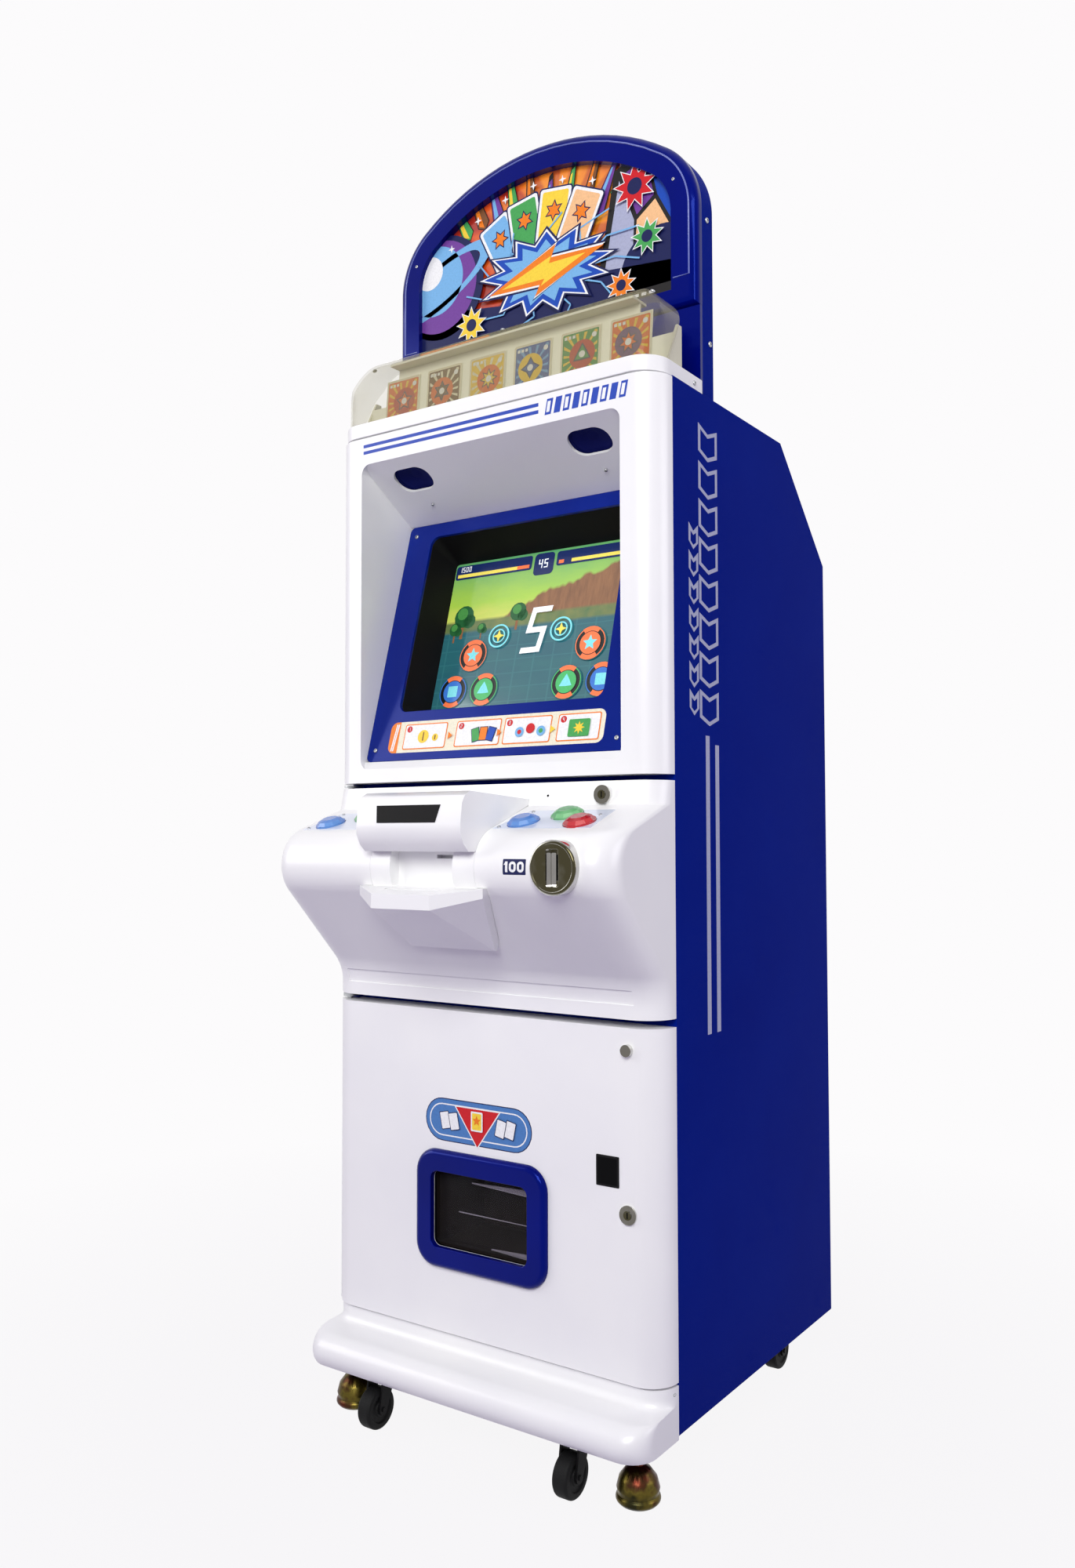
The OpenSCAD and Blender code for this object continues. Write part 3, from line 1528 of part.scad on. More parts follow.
module button_right_blue() {
    button(1, 0, sky);
}

module button_right_green() {
    button(1, 1, green);
}

module button_right_red() {
    button(1, 2, red);
}

// Casters and levelling feet

module caster_fork(spot) {
    gap = wheel_w / 2 + wheel_gap;
    color(steel) translate([spot.x, spot.y, 0]) difference() {
        union() {
            translate([0, 0, crown_z0]) cylinder(h = crown_t, r = gap + cheek_t + 5);
            translate([0, 0, crown_z0]) cylinder(h = base_z1 - crown_z0, r = swivel_r);
            for (s = [-1, 1]) translate([s * (gap + cheek_t / 2), 0, 0]) extrude_x(cheek_t) {
                polygon([[-trail - 7, wheel_r], [-trail + 7, wheel_r], [10, crown_z0 + e],
                    [-14, crown_z0 + e]]);
                translate([-trail, wheel_r]) circle(7);
            }
            translate([0, -trail, wheel_r]) rod_x(2 * (gap + cheek_t) + 3, axle_r);
        }
    }
}

module caster_wheel(spot) {
    soft = 4;
    color(black) translate([spot.x, spot.y - trail, wheel_r]) rotate([0, 90, 0])
        rotate_extrude() polygon(concat(
            [[axle_r + fit_gap, -wheel_w / 2], [9, -wheel_w / 2], [10, -wheel_w / 2 + 2],
                [16, -wheel_w / 2 + 2], [17, -wheel_w / 2]],
            arc([wheel_r - soft, -wheel_w / 2 + soft], soft, -90, 0, 5),
            arc([wheel_r - soft, wheel_w / 2 - soft], soft, 0, 90, 5),
            [[17, wheel_w / 2], [16, wheel_w / 2 - 2], [10, wheel_w / 2 - 2], [9, wheel_w / 2],
                [axle_r + fit_gap, wheel_w / 2]]));
}

module caster_fork_front_left() {
    caster_fork(caster_spots[0]);
}

module caster_fork_front_right() {
    caster_fork(caster_spots[1]);
}

module caster_fork_rear_left() {
    caster_fork(caster_spots[2]);
}

module caster_fork_rear_right() {
    caster_fork(caster_spots[3]);
}

module caster_wheel_front_left() {
    caster_wheel(caster_spots[0]);
}

module caster_wheel_front_right() {
    caster_wheel(caster_spots[1]);
}

module caster_wheel_rear_left() {
    caster_wheel(caster_spots[2]);
}

module caster_wheel_rear_right() {
    caster_wheel(caster_spots[3]);
}

module levelling_foot(spot) {
    nut_z1 = floor_gap - 0.5;
    nut_h = 8;
    color(zinc) translate([spot.x, spot.y, 0]) {
        rotate_extrude() polygon(concat([[0, 0], [foot_r - 4, 0]],
            arc([foot_r - 5, 6], 5, -50, 60, 6),
            [[foot_r - 1, 17], [foot_r - 4, 28], [foot_r - 11, 37], [foot_stem_r, 41], [foot_stem_r, base_z1 + 10],
                [0, base_z1 + 10]]));
        translate([0, 0, nut_z1 - nut_h]) cylinder(h = nut_h, r = 11, $fn = 6);
    }
}

module levelling_foot_left() {
    levelling_foot(foot_spots[0]);
}

module levelling_foot_right() {
    levelling_foot(foot_spots[1]);
}

place() side_panel_left();
place() side_panel_right();
place() back_panel();
place() top_panel();
place() base_frame();
place() front_frame();
place() inner_shelf();
place() upper_bezel();
place() monitor_panel();
place() monitor_mask();
place() monitor_screen();
place() monitor_housing();
place() speakers();
place() header_tray();
place() clear_cover();
place() card_board();
place() display_cards();
place() sign_frame();
place() sign_housing();
place() sign_art_panel();
place() sign_lamp();
place() base_cover();
place() hinge_brackets();
place() game_board();
place() power_supply();
place() power_inlet();
place() card_dispenser();
place() card_chute();
place() cash_box();
place() lower_door();
place() outlet_frame();
place() card_tray();
place() door_lock_barrels();
place() outlet_flap();
place() door_lock_cam();
place() control_panel();
place() button_plates();
place() scanner_unit();
place() scanner_window();
place() coin_entry();
place() coin_mechanism();
place() panel_lock_barrel();
place() button_switches();
place() panel_lock_cam();
place() button_left_blue();
place() button_left_green();
place() button_left_red();
place() button_right_blue();
place() button_right_green();
place() button_right_red();
place() caster_fork_front_left();
place() caster_fork_front_right();
place() caster_fork_rear_left();
place() caster_fork_rear_right();
place() caster_wheel_front_left();
place() caster_wheel_front_right();
place() caster_wheel_rear_left();
place() caster_wheel_rear_right();
place() levelling_foot_left();
place() levelling_foot_right();
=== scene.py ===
"""Looks of an arcade card game machine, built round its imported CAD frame."""

import json
import math
import random

import bmesh
import bpy
from mathutils import Matrix, Vector

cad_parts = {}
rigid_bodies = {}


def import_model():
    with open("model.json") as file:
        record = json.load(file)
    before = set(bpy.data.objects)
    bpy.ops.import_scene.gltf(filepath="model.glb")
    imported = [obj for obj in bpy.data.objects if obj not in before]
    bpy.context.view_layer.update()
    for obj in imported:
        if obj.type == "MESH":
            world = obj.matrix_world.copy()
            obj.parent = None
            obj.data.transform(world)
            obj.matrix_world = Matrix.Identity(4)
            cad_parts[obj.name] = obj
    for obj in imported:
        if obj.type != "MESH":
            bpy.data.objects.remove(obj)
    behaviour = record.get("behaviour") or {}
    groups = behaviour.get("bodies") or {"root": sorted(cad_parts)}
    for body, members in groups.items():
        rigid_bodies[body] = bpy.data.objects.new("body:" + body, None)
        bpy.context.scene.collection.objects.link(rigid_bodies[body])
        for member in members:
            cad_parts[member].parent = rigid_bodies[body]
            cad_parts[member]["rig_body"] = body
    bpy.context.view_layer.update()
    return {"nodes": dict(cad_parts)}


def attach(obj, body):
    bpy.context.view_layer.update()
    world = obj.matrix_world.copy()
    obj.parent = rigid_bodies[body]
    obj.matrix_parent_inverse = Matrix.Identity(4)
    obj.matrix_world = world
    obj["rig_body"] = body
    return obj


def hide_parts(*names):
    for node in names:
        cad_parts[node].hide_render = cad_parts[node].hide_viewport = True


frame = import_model()
nodes = frame["nodes"]
random.seed(11)

# Places are written in millimetres: x across, y back from the side panels' front edge, z up
FRONT_EDGE = -0.1325
BODY_HALF = 250
SHELL_OUT = 38
DOOR_FACE = -SHELL_OUT
FLAP_FACE = -29.5


def point(x, y, z):
    return Vector((x / 1000, y / 1000 + FRONT_EDGE, z / 1000))


def tint(red, green, blue):
    """A colour as it is seen, 0 to 255 each, as the shader takes it."""
    def straight(c):
        c = c / 255
        return c / 12.92 if c <= 0.04045 else ((c + 0.055) / 1.055) ** 2.4
    return (straight(red), straight(green), straight(blue), 1)


def scaled(colour, by):
    return tuple(min(1, c * by) for c in colour[:3]) + (1,)


# Shader building blocks


class Number:
    """A value in a shader; arithmetic on it adds Math nodes."""

    def __init__(self, finish, socket):
        self.finish = finish
        self.socket = socket

    def maths(self, operation, *values, clamp=False):
        settings = {"operation": operation, "use_clamp": clamp}
        made = self.finish.node("ShaderNodeMath", settings, dict(enumerate(values)))
        return Number(self.finish, made.outputs[0])

    def __add__(self, other):
        return self.maths("ADD", self, other)

    __radd__ = __add__

    def __sub__(self, other):
        return self.maths("SUBTRACT", self, other)

    def __rsub__(self, other):
        return self.maths("SUBTRACT", other, self)

    def __mul__(self, other):
        return self.maths("MULTIPLY", self, other)

    __rmul__ = __mul__

    def sine(self):
        return self.maths("SINE", self)

    def root(self):
        return self.maths("SQRT", self)

    def at_most(self, other):
        return self.maths("MINIMUM", self, other)

    def rise(self, start, end):
        """0 before start, 1 after end, straight between."""
        span = 1 / (end - start)
        return self.maths("MULTIPLY_ADD", self, span, -start * span, clamp=True)


class Finish:
    """One material, or the world round the machine, made from nodes."""

    def __init__(self, name, world=False):
        made_in = bpy.data.worlds if world else bpy.data.materials
        self.result = made_in.new(name)
        self.result.use_nodes = True
        self.tree = self.result.node_tree
        self.tree.nodes.clear()
        self.out = self.tree.nodes.new("ShaderNodeOutput" + ("World" if world else "Material"))

    def node(self, kind, settings=None, inputs=None):
        """A node of any kind: its settings first, then its sockets' values or links."""
        made = self.tree.nodes.new(kind)
        for key, value in (settings or {}).items():
            if key == "stops":
                self.set_stops(made.color_ramp, value)
            else:
                setattr(made, key, value)
        for key, value in (inputs or {}).items():
            if isinstance(value, Number):
                value = value.socket
            if isinstance(value, bpy.types.NodeSocket):
                self.tree.links.new(value, made.inputs[key])
            else:
                made.inputs[key].default_value = value
        return made

    @staticmethod
    def set_stops(ramp, stops):
        while len(ramp.elements) < len(stops):
            ramp.elements.new(0.5)
        for element, stop in zip(ramp.elements, stops):
            element.position, element.color = stop

    def number(self, socket):
        return Number(self, socket)

    def seen(self):
        """1 for what the camera, gloss or glass sees, and 0 for the light that is given."""
        rays = self.node("ShaderNodeLightPath")
        seen = self.number(rays.outputs["Is Camera Ray"])
        for kind in ("Is Glossy Ray", "Is Transmission Ray"):
            seen = seen.maths("MAXIMUM", seen, rays.outputs[kind])
        return seen

    def ended(self, shader):
        self.tree.links.new(shader.outputs[0], self.out.inputs["Surface"])
        return self.result

    def blend(self, factor, first, second):
        """Ends the finish in a mix of two shaders."""
        both = self.node("ShaderNodeMixShader", inputs={
            0: factor, 1: first.outputs[0], 2: second.outputs[0]})
        return self.ended(both)

    def place(self):
        """Where the shaded point is, in metres, moving with the piece."""
        return self.node("ShaderNodeTexCoord").outputs["Object"]

    def axes(self):
        split = self.node("ShaderNodeSeparateXYZ", inputs={0: self.place()})
        return [self.number(split.outputs[i]) for i in range(3)]

    def noise(self, scale, detail=2.0, rough=0.5, stretch=(1, 1, 1)):
        where = self.node("ShaderNodeMapping", inputs={0: self.place(), "Scale": stretch})
        made = self.node("ShaderNodeTexNoise", inputs={
            "Vector": where.outputs[0], "Scale": scale, "Detail": detail, "Roughness": rough})
        return self.number(made.outputs[0])

    def cells(self, scale):
        made = self.node("ShaderNodeTexVoronoi", inputs={"Vector": self.place(), "Scale": scale})
        return self.number(made.outputs["Distance"])

    def slant(self, blend):
        """0 where the surface is seen face on, up to 1 where it is seen at a slant."""
        made = self.node("ShaderNodeLayerWeight", inputs={"Blend": blend})
        return self.number(made.outputs["Facing"])

    def mix(self, factor, first, second):
        made = self.node("ShaderNodeMix", {"data_type": "RGBA"}, {0: factor, 6: first, 7: second})
        return made.outputs[2]

    def ramp(self, factor, stops):
        return self.node("ShaderNodeValToRGB", {"stops": stops}, {0: factor}).outputs[0]

    def bump(self, height, strength, depth):
        return self.node("ShaderNodeBump", inputs={
            "Height": height, "Strength": strength, "Distance": depth}).outputs[0]

    def surface(self, **sockets):
        """Ends the material in a Principled shader; socket names are written with _ for spaces."""
        inputs = {key.replace("_", " "): value for key, value in sockets.items()}
        return self.ended(self.node("ShaderNodeBsdfPrincipled", inputs=inputs))


# Finishes


def moulded(name, colour, shade, roughness=0.26, coat=0.15, grain=0.03, shine=0.5,
            shine_tint=(1, 1, 1, 1)):
    """Gloss injection-moulded plastic with slow waviness and fine orange peel."""
    f = Finish(name)
    cloud = f.noise(6, 3)
    peel = f.noise(420, 2) * 0.2 + f.noise(9, 1)
    return f.surface(
        Base_Color=f.mix(cloud.rise(0.35, 0.7), colour, shade),
        Roughness=roughness + f.noise(40, 3) * 0.08, Specular_IOR_Level=shine,
        Specular_Tint=shine_tint, Normal=f.bump(peel, grain, 0.0015), Coat_Weight=coat,
        Coat_Roughness=0.1)


def painted(name, colour, shade, roughness=0.42):
    """Sheet metal or board under a textured satin paint."""
    f = Finish(name)
    peel = f.noise(620, 3, 0.6)
    wear = f.noise(14, 5, 0.65).rise(0.62, 0.8)
    return f.surface(
        Base_Color=f.mix(f.noise(5, 4), colour, shade),
        Roughness=roughness + peel * 0.14 + wear * 0.08, Specular_IOR_Level=0.01,
        Normal=f.bump(peel, 0.3, 0.0008))


def brushed(name, colour, roughness=0.3, stretch=(1, 1, 60)):
    """Plated or brushed metal with fine lines along one way."""
    f = Finish(name)
    lines = f.noise(180, 4, 0.6, stretch)
    blotch = f.noise(22, 4)
    return f.surface(
        Base_Color=f.mix(blotch, colour, scaled(colour, 0.82)),
        Metallic=1.0, Roughness=roughness + lines * 0.12 + blotch * 0.06,
        Normal=f.bump(lines, 0.06, 0.0005))


def polished(name, colour, painted_room_reflection, roughness=0.07):
    """Bright plating: light at a slant and darker face on, with a painted reflection of a dim room
    mixed into the base colour by the angle of view.
    """
    f = Finish(name)
    haze = f.noise(60, 4)
    return f.surface(
        Base_Color=f.mix((f.slant(0.5) + haze * 0.1).rise(0.22, 0.6), painted_room_reflection, colour),
        Metallic=1.0, Roughness=roughness + haze.rise(0.5, 0.8) * 0.09,
        Normal=f.bump(f.noise(240, 2), 0.02, 0.0004))


def passivated(name):
    """Zinc with a yellow passivate: olive, gold and rust tones that drift over the surface."""
    f = Finish(name)
    drift = f.noise(34, 3, 0.5)
    tone = f.ramp(drift, [(0.34, tint(38, 36, 16)), (0.46, tint(92, 80, 30)),
                          (0.55, tint(64, 42, 22)), (0.66, tint(84, 26, 18))])
    return f.surface(Base_Color=tone, Metallic=0.9, Roughness=0.24 + f.noise(120, 3) * 0.12,
                     Normal=f.bump(f.noise(200, 2), 0.05, 0.0004))


def grained(name, colour, shade, roughness=0.5, scale=900, strength=0.3, shine=0.25):
    """Moulded plastic or rubber with a fine sandy grain."""
    f = Finish(name)
    grain = f.noise(scale, 2)
    return f.surface(
        Base_Color=f.mix(f.noise(18, 4), colour, shade),
        Roughness=roughness + grain * 0.14, Specular_IOR_Level=shine,
        Normal=f.bump(grain, strength, 0.0006))


def printed(name, colour, roughness=0.35, coat=0.1, glow=0.0):
    """Ink or film: an even colour with the faint mottle of print."""
    f = Finish(name)
    mottle = f.noise(380, 2)
    colours = f.mix(mottle.rise(0.4, 0.7), colour, scaled(colour, 0.9))
    extra = {"Emission_Color": colours, "Emission_Strength": glow} if glow else {}
    return f.surface(Base_Color=colours, Roughness=roughness + mottle * 0.08, Coat_Weight=coat,
                     Coat_Roughness=0.12, Specular_IOR_Level=0.2,
                     Normal=f.bump(mottle, 0.02, 0.0003), **extra)


def clear_moulding(name, colour, alpha=0.1):
    """Clear moulded plastic: see-through face on, shiny at a slant, with faint haze."""
    f = Finish(name)
    slant = f.slant(0.35)
    haze = f.noise(30, 4).rise(0.45, 0.8)
    return f.surface(
        Base_Color=f.mix(haze, colour, scaled(colour, 1.06)), Roughness=0.06 + haze * 0.05,
        Alpha=(slant * slant * 0.5 + alpha + haze * 0.03).at_most(0.9),
        Normal=f.bump(f.noise(30, 1), 0.03, 0.002))


def lens_plastic(name, colour, deep):
    """Translucent button plastic, deeper in colour where it is thick."""
    f = Finish(name)
    cloud = f.noise(90, 3)
    return f.surface(
        Base_Color=f.mix((f.slant(0.4) + cloud * 0.3).rise(0.1, 1.1), colour, deep),
        Roughness=0.12 + cloud * 0.06, Coat_Weight=0.3, Coat_Roughness=0.04,
        Subsurface_Weight=0.25, Subsurface_Radius=(0.004, 0.004, 0.004),
        Normal=f.bump(cloud, 0.03, 0.001))


def fibre_board(name):
    """Printed circuit board: green resist with copper tracks under it."""
    f = Finish(name)
    x, y, z = f.axes()
    lines = ((z * 620).sine().rise(0.55, 0.8) * f.cells(42).rise(0.3, 0.5)
             + (y * 560).sine().rise(0.7, 0.9) * f.cells(31).rise(0.35, 0.55)).at_most(1)
    return f.surface(Base_Color=f.mix(lines, tint(8, 74, 40), tint(30, 120, 66)),
                     Roughness=0.34 + lines * 0.1, Coat_Weight=0.3,
                     Normal=f.bump(lines, 0.2, 0.0003))


# The colour in which the gloss blue parts mirror the lights
BLUE_SHINE = (0.04, 0.1, 0.7, 1)
OUTLET_SHINE = (0.06, 0.12, 0.8, 1)
white_shell = moulded("white_moulded", tint(240, 240, 240), tint(235, 235, 237))
blue_paint = painted("royal_blue_paint", tint(4, 33, 138), tint(0, 20, 120))
gloss_blue = moulded("gloss_blue", tint(0, 8, 108), tint(0, 5, 94), roughness=0.1, coat=0.0,
                     grain=0.03, shine=0.45, shine_tint=BLUE_SHINE)
frame_blue = moulded("outlet_blue", tint(0, 8, 108), tint(0, 5, 94), roughness=0.07, coat=0.0,
                     grain=0.02, shine=0.6, shine_tint=OUTLET_SHINE)
panel_blue = moulded("monitor_blue", tint(12, 34, 126), tint(8, 26, 112), roughness=0.14, coat=0.0,
                     grain=0.02, shine=0.4, shine_tint=BLUE_SHINE)
speaker_cloth = grained("speaker_cloth", tint(8, 18, 92), tint(4, 10, 70), 0.6, scale=1200,
                        strength=0.5, shine=0.1)
# The bead's light blue is a painted highlight: the raised bead is real trim, and its colour stands
# for the gloss line along the sign frame's rounded edge.
bead_highlight_blue = moulded("bead_painted_highlight", tint(96, 108, 182), tint(70, 84, 164), 0.16, coat=0.4, grain=0.02,
                    shine=0.4)
satin_black = grained("satin_black", tint(24, 23, 24), tint(18, 18, 20), 0.38, strength=0.2,
                      shine=0.08)
dull_black = grained("dull_black", tint(12, 12, 13), tint(8, 8, 10), 0.6, shine=0.04)
tray_brown = grained("tray_brown", tint(40, 34, 32), tint(28, 24, 24), 0.45, scale=500,
                     strength=0.2, shine=0.12)
tyre_black = grained("tyre_rubber", tint(20, 20, 21), tint(12, 12, 14), 0.55, scale=500,
                     strength=0.35, shine=0.15)
ivory_card = grained("ivory_board", tint(216, 214, 194), tint(208, 205, 182), 0.4, scale=700,
                     strength=0.12)
clear_cover = clear_moulding("clear_cover", tint(178, 172, 130), alpha=0.09)
clear_flap = clear_moulding("clear_flap", tint(70, 68, 72), alpha=0.05)
# The flap ridges are pale as a painted reflection: streaks of lamp light mirrored on the flap, set
# on thin ridges.
flap_glint_ridge = clear_moulding("flap_glint_ridge", tint(206, 198, 214), alpha=0.24)
frame_grey = painted("grey_powder_coat", tint(116, 118, 122), tint(104, 106, 110), 0.5)
zinc_steel = brushed("zinc_steel", tint(190, 192, 196), 0.34)
sheet_steel = brushed("sheet_steel", tint(170, 172, 176), stretch=(60, 1, 1))
# Each plating's second colour, seen face on, is a painted reflection of a dim room.
chrome = polished("chrome", tint(216, 215, 212), tint(72, 68, 50))
bright_chrome = polished("bright_chrome", tint(232, 231, 234), tint(186, 184, 184))
nickel = polished("nickel_plate", tint(214, 213, 210), tint(112, 109, 102), 0.1)
yellow_zinc = passivated("yellow_zinc")
pale_plate = moulded("pale_plate", tint(218, 224, 240), tint(206, 216, 236), 0.16, coat=0.6)
lamp_glass = printed("lamp_tube", tint(238, 238, 228), 0.2, coat=0.6, glow=0.3)
circuit_green = fibre_board("circuit_board")
blue_lens = lens_plastic("blue_lens", tint(98, 152, 216), tint(40, 96, 190))
green_lens = lens_plastic("green_lens", tint(128, 198, 138), tint(62, 148, 80))
red_lens = lens_plastic("red_lens", tint(202, 14, 34), tint(140, 4, 20))
screw_steel = brushed("screw_steel", tint(176, 177, 182), 0.25, (1, 1, 1))


# Meshes


def as_object(bm, name, materials):
    mesh = bpy.data.meshes.new(name)
    bm.to_mesh(mesh)
    bm.free()
    for material in materials:
        mesh.materials.append(material)
    obj = bpy.data.objects.new(name, mesh)
    bpy.context.scene.collection.objects.link(obj)
    return obj


def smoothed(bm, name, material, angle=38):
    """An object with its faces outward, and smooth over edges up to an angle."""
    bmesh.ops.recalc_face_normals(bm, faces=bm.faces)
    for face in bm.faces:
        face.smooth = True
    obj = as_object(bm, name, [material])
    obj.data.set_sharp_from_angle(angle=math.radians(angle))
    return obj


def bridge(bm, rings):
    """The faces between each closed ring of corners and the next."""
    for low, high in zip(rings, rings[1:]):
        n = len(low)
        for i in range(n):
            bm.faces.new((low[i], low[(i + 1) % n], high[(i + 1) % n], high[i]))


def body_of(node):
    return nodes[node]["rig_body"]


def rounded(node, material, width, steps=2, angle=32):
    """Stands for a CAD node: the same solid with its sharp edges rounded by width, in mm."""
    bm = bmesh.new()
    bm.from_mesh(nodes[node].data)
    bmesh.ops.remove_doubles(bm, verts=bm.verts, dist=2e-5)
    bmesh.ops.dissolve_limit(bm, angle_limit=math.radians(0.6), verts=bm.verts, edges=bm.edges,
                             delimit=set())
    limit = math.radians(angle)
    sharp = [e for e in bm.edges if len(e.link_faces) == 2 and e.calc_face_angle(0) > limit]
    if sharp:
        bmesh.ops.bevel(bm, geom=sharp, offset=width / 1000, offset_type="OFFSET",
                        segments=steps, profile=0.5, affect="EDGES", clamp_overlap=True)
    obj = smoothed(bm, node + "_dressed", material)
    even = obj.modifiers.new("even_shading", "WEIGHTED_NORMAL")
    even.keep_sharp = True
    even.weight = 90
    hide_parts(node)
    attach(obj, body_of(node))


def keep(node, material):
    """The CAD node as it is, with its finish."""
    obj = nodes[node]
    if not obj.material_slots:
        obj.data.materials.append(material)
    for place in obj.material_slots:
        place.material = material


# Camera, light and floor

# The photograph's camera: place in mm, yaw, pitch and roll in degrees, lens in mm
CAMERA_PLACE = (928.3, -1256.3, 741.6)
CAMERA_TURN = (34.70, 2.42, -0.1)
LENS, SENSOR = 28.476, 36
PAPER_WHITE = tint(252, 251, 252)
FLOOR_HALF = 14  # metres


def set_stage():
    scene = bpy.context.scene
    scene.view_settings.view_transform = "Standard"

    camera = bpy.data.cameras.new("camera")
    camera.sensor_width = SENSOR
    camera.lens = LENS
    camera.clip_end = 60
    holder = bpy.data.objects.new("camera", camera)
    scene.collection.objects.link(holder)
    yaw, pitch, roll = (math.radians(a) for a in CAMERA_TURN)
    ahead = Vector((-math.sin(yaw) * math.cos(pitch), math.cos(yaw) * math.cos(pitch),
                    math.sin(pitch)))
    turn = ahead.to_track_quat("-Z", "Y").to_matrix() @ Matrix.Rotation(roll, 3, "Z")
    holder.matrix_world = Matrix.Translation(point(*CAMERA_PLACE)) @ turn.to_4x4()
    scene.camera = holder

    sky = Finish("studio", world=True)
    ambient = sky.node("ShaderNodeBackground", inputs={
        "Color": (0.72, 0.58, 1.0, 1), "Strength": 0.22})
    white = sky.node("ShaderNodeBackground", inputs={"Color": PAPER_WHITE})
    scene.world = sky.blend(sky.seen(), ambient, white)

    softbox("key_light", (1.3, -2.9, 2.35), (0, 0, 0.7), 1.7, 99, (0.985, 1.0, 0.935))
    softbox("left_light", (-2.6, -1.9, 1.7), (0, 0, 0.8), 1.8, 35, (1.0, 1.0, 0.97))
    softbox("right_light", (2.9, 0.6, 1.5), (0.1, 0.1, 0.8), 1.4, 20)
    softbox("top_light", (0.2, -0.5, 3.4), (0, 0, 0.9), 1.6, 3)
    softbox("rear_light", (-1.6, 3.0, 2.0), (0, 0, 0.8), 1.8, 34)

    bm = bmesh.new()
    bm.faces.new([bm.verts.new((x * FLOOR_HALF, y * FLOOR_HALF, 0))
                  for x, y in ((-1, -1), (1, -1), (1, 1), (-1, 1))])
    floor = smoothed(bm, "studio_floor", floor_finish())


def softbox(name, where, target, size, power, colour=(1, 1, 1)):
    light = bpy.data.lights.new(name, "AREA")
    light.shape = "SQUARE"
    light.size = size
    light.energy = power
    light.color = colour
    obj = bpy.data.objects.new(name, light)
    obj.location = where
    obj.rotation_euler = (Vector(target) - Vector(where)).to_track_quat("-Z", "Y").to_euler()
    bpy.context.scene.collection.objects.link(obj)


def floor_finish():
    """Pale floor that looks white to the camera and still takes the soft shadow."""
    f = Finish("studio_floor")
    x, y, z = f.axes()
    away = (x * x + y * y).root().rise(0.5, 1.5)
    pale = f.node("ShaderNodeBsdfDiffuse", inputs={"Color": tint(154, 143, 174)})
    bright = f.node("ShaderNodeEmission", inputs={"Color": PAPER_WHITE, "Strength": 1.0})
    return f.blend(f.seen() * (away * 0.06 + 0.94), pale, bright)


set_stage()


# The CAD pieces in their finishes

for parts, material, width in (
        ("upper_bezel", white_shell, 1.6), ("control_panel", white_shell, 3.0),
        ("lower_door", white_shell, 1.8), ("base_cover", white_shell, 1.4),
        ("header_tray", white_shell, 1.2), ("scanner_unit", white_shell, 4.0),
        ("card_board", ivory_card, 0.5), ("sign_frame", gloss_blue, 1.0),
        ("outlet_frame", frame_blue, 4.5), ("monitor_panel", panel_blue, 0.8),
        ("monitor_mask", satin_black, 0.6),
        ("side_panel_left side_panel_right back_panel top_panel", blue_paint, 0.7),
        ("sign_housing", blue_paint, 1.0), ("coin_entry", chrome, 0.9),
        ("button_plates", pale_plate, 0.3), ("door_lock_barrels panel_lock_barrel", nickel, 0.3)):
    for part in parts.split():
        rounded(part, material, width, steps=4 if width > 2.5 else 2)

for corner in ("front_left", "front_right", "rear_left", "rear_right"):
    rounded("caster_fork_" + corner, satin_black, 0.5)
    rounded("caster_wheel_" + corner, tyre_black, 0.8)
for side in ("left", "right"):
    rounded("levelling_foot_" + side, yellow_zinc, 0.6)
    for colour, lens in (("blue", blue_lens), ("green", green_lens), ("red", red_lens)):
        rounded(f"button_{side}_{colour}", lens, 0.5, angle=20)

for material, parts in (
        (frame_grey, "base_frame inner_shelf card_dispenser cash_box"),
        (blue_paint, "front_frame"),
        (satin_black, "monitor_screen power_inlet scanner_window coin_mechanism "
                      "button_switches"),
        (dull_black, "monitor_housing"),
        (speaker_cloth, "speakers"),
        (clear_cover, "clear_cover"),
        (ivory_card, "display_cards"),
        (lamp_glass, "sign_art_panel sign_lamp"),
        (zinc_steel, "hinge_brackets door_lock_cam panel_lock_cam"),
        (circuit_green, "game_board"),
        (sheet_steel, "power_supply card_chute"),
        (tray_brown, "card_tray"),
        (clear_flap, "outlet_flap")):
    for part in parts.split():
        keep(part, material)


# Flat shapes for printed pieces: each returns a list of outlines, anticlockwise, in mm


def disc(u, v, r, n=28):
    return [[(u + r * math.cos(2 * math.pi * i / n), v + r * math.sin(2 * math.pi * i / n))
             for i in range(n)]]


def between(outer, inner):
    """The border between two outlines with as many points each."""
    n = len(outer)
    return [[outer[i], outer[(i + 1) % n], inner[(i + 1) % n], inner[i]] for i in range(n)]


def ring(u, v, outer, inner):
    return between(disc(u, v, outer, 36)[0], disc(u, v, inner, 36)[0])


def rect(u0, v0, u1, v1, r=0.0):
    if not r:
        return [[(u0, v0), (u1, v0), (u1, v1), (u0, v1)]]
    points = []
    for u, v, start in ((u1 - r, v0 + r, -90), (u1 - r, v1 - r, 0), (u0 + r, v1 - r, 90),
                        (u0 + r, v0 + r, 180)):
        for k in range(7):
            a = math.radians(start + 15 * k)
            points.append((u + r * math.cos(a), v + r * math.sin(a)))
    return [points]


def border(u0, v0, u1, v1, r, width):
    inner = rect(u0 + width, v0 + width, u1 - width, v1 - width, max(r - width, 0.3))[0]
    return between(rect(u0, v0, u1, v1, r)[0], inner)


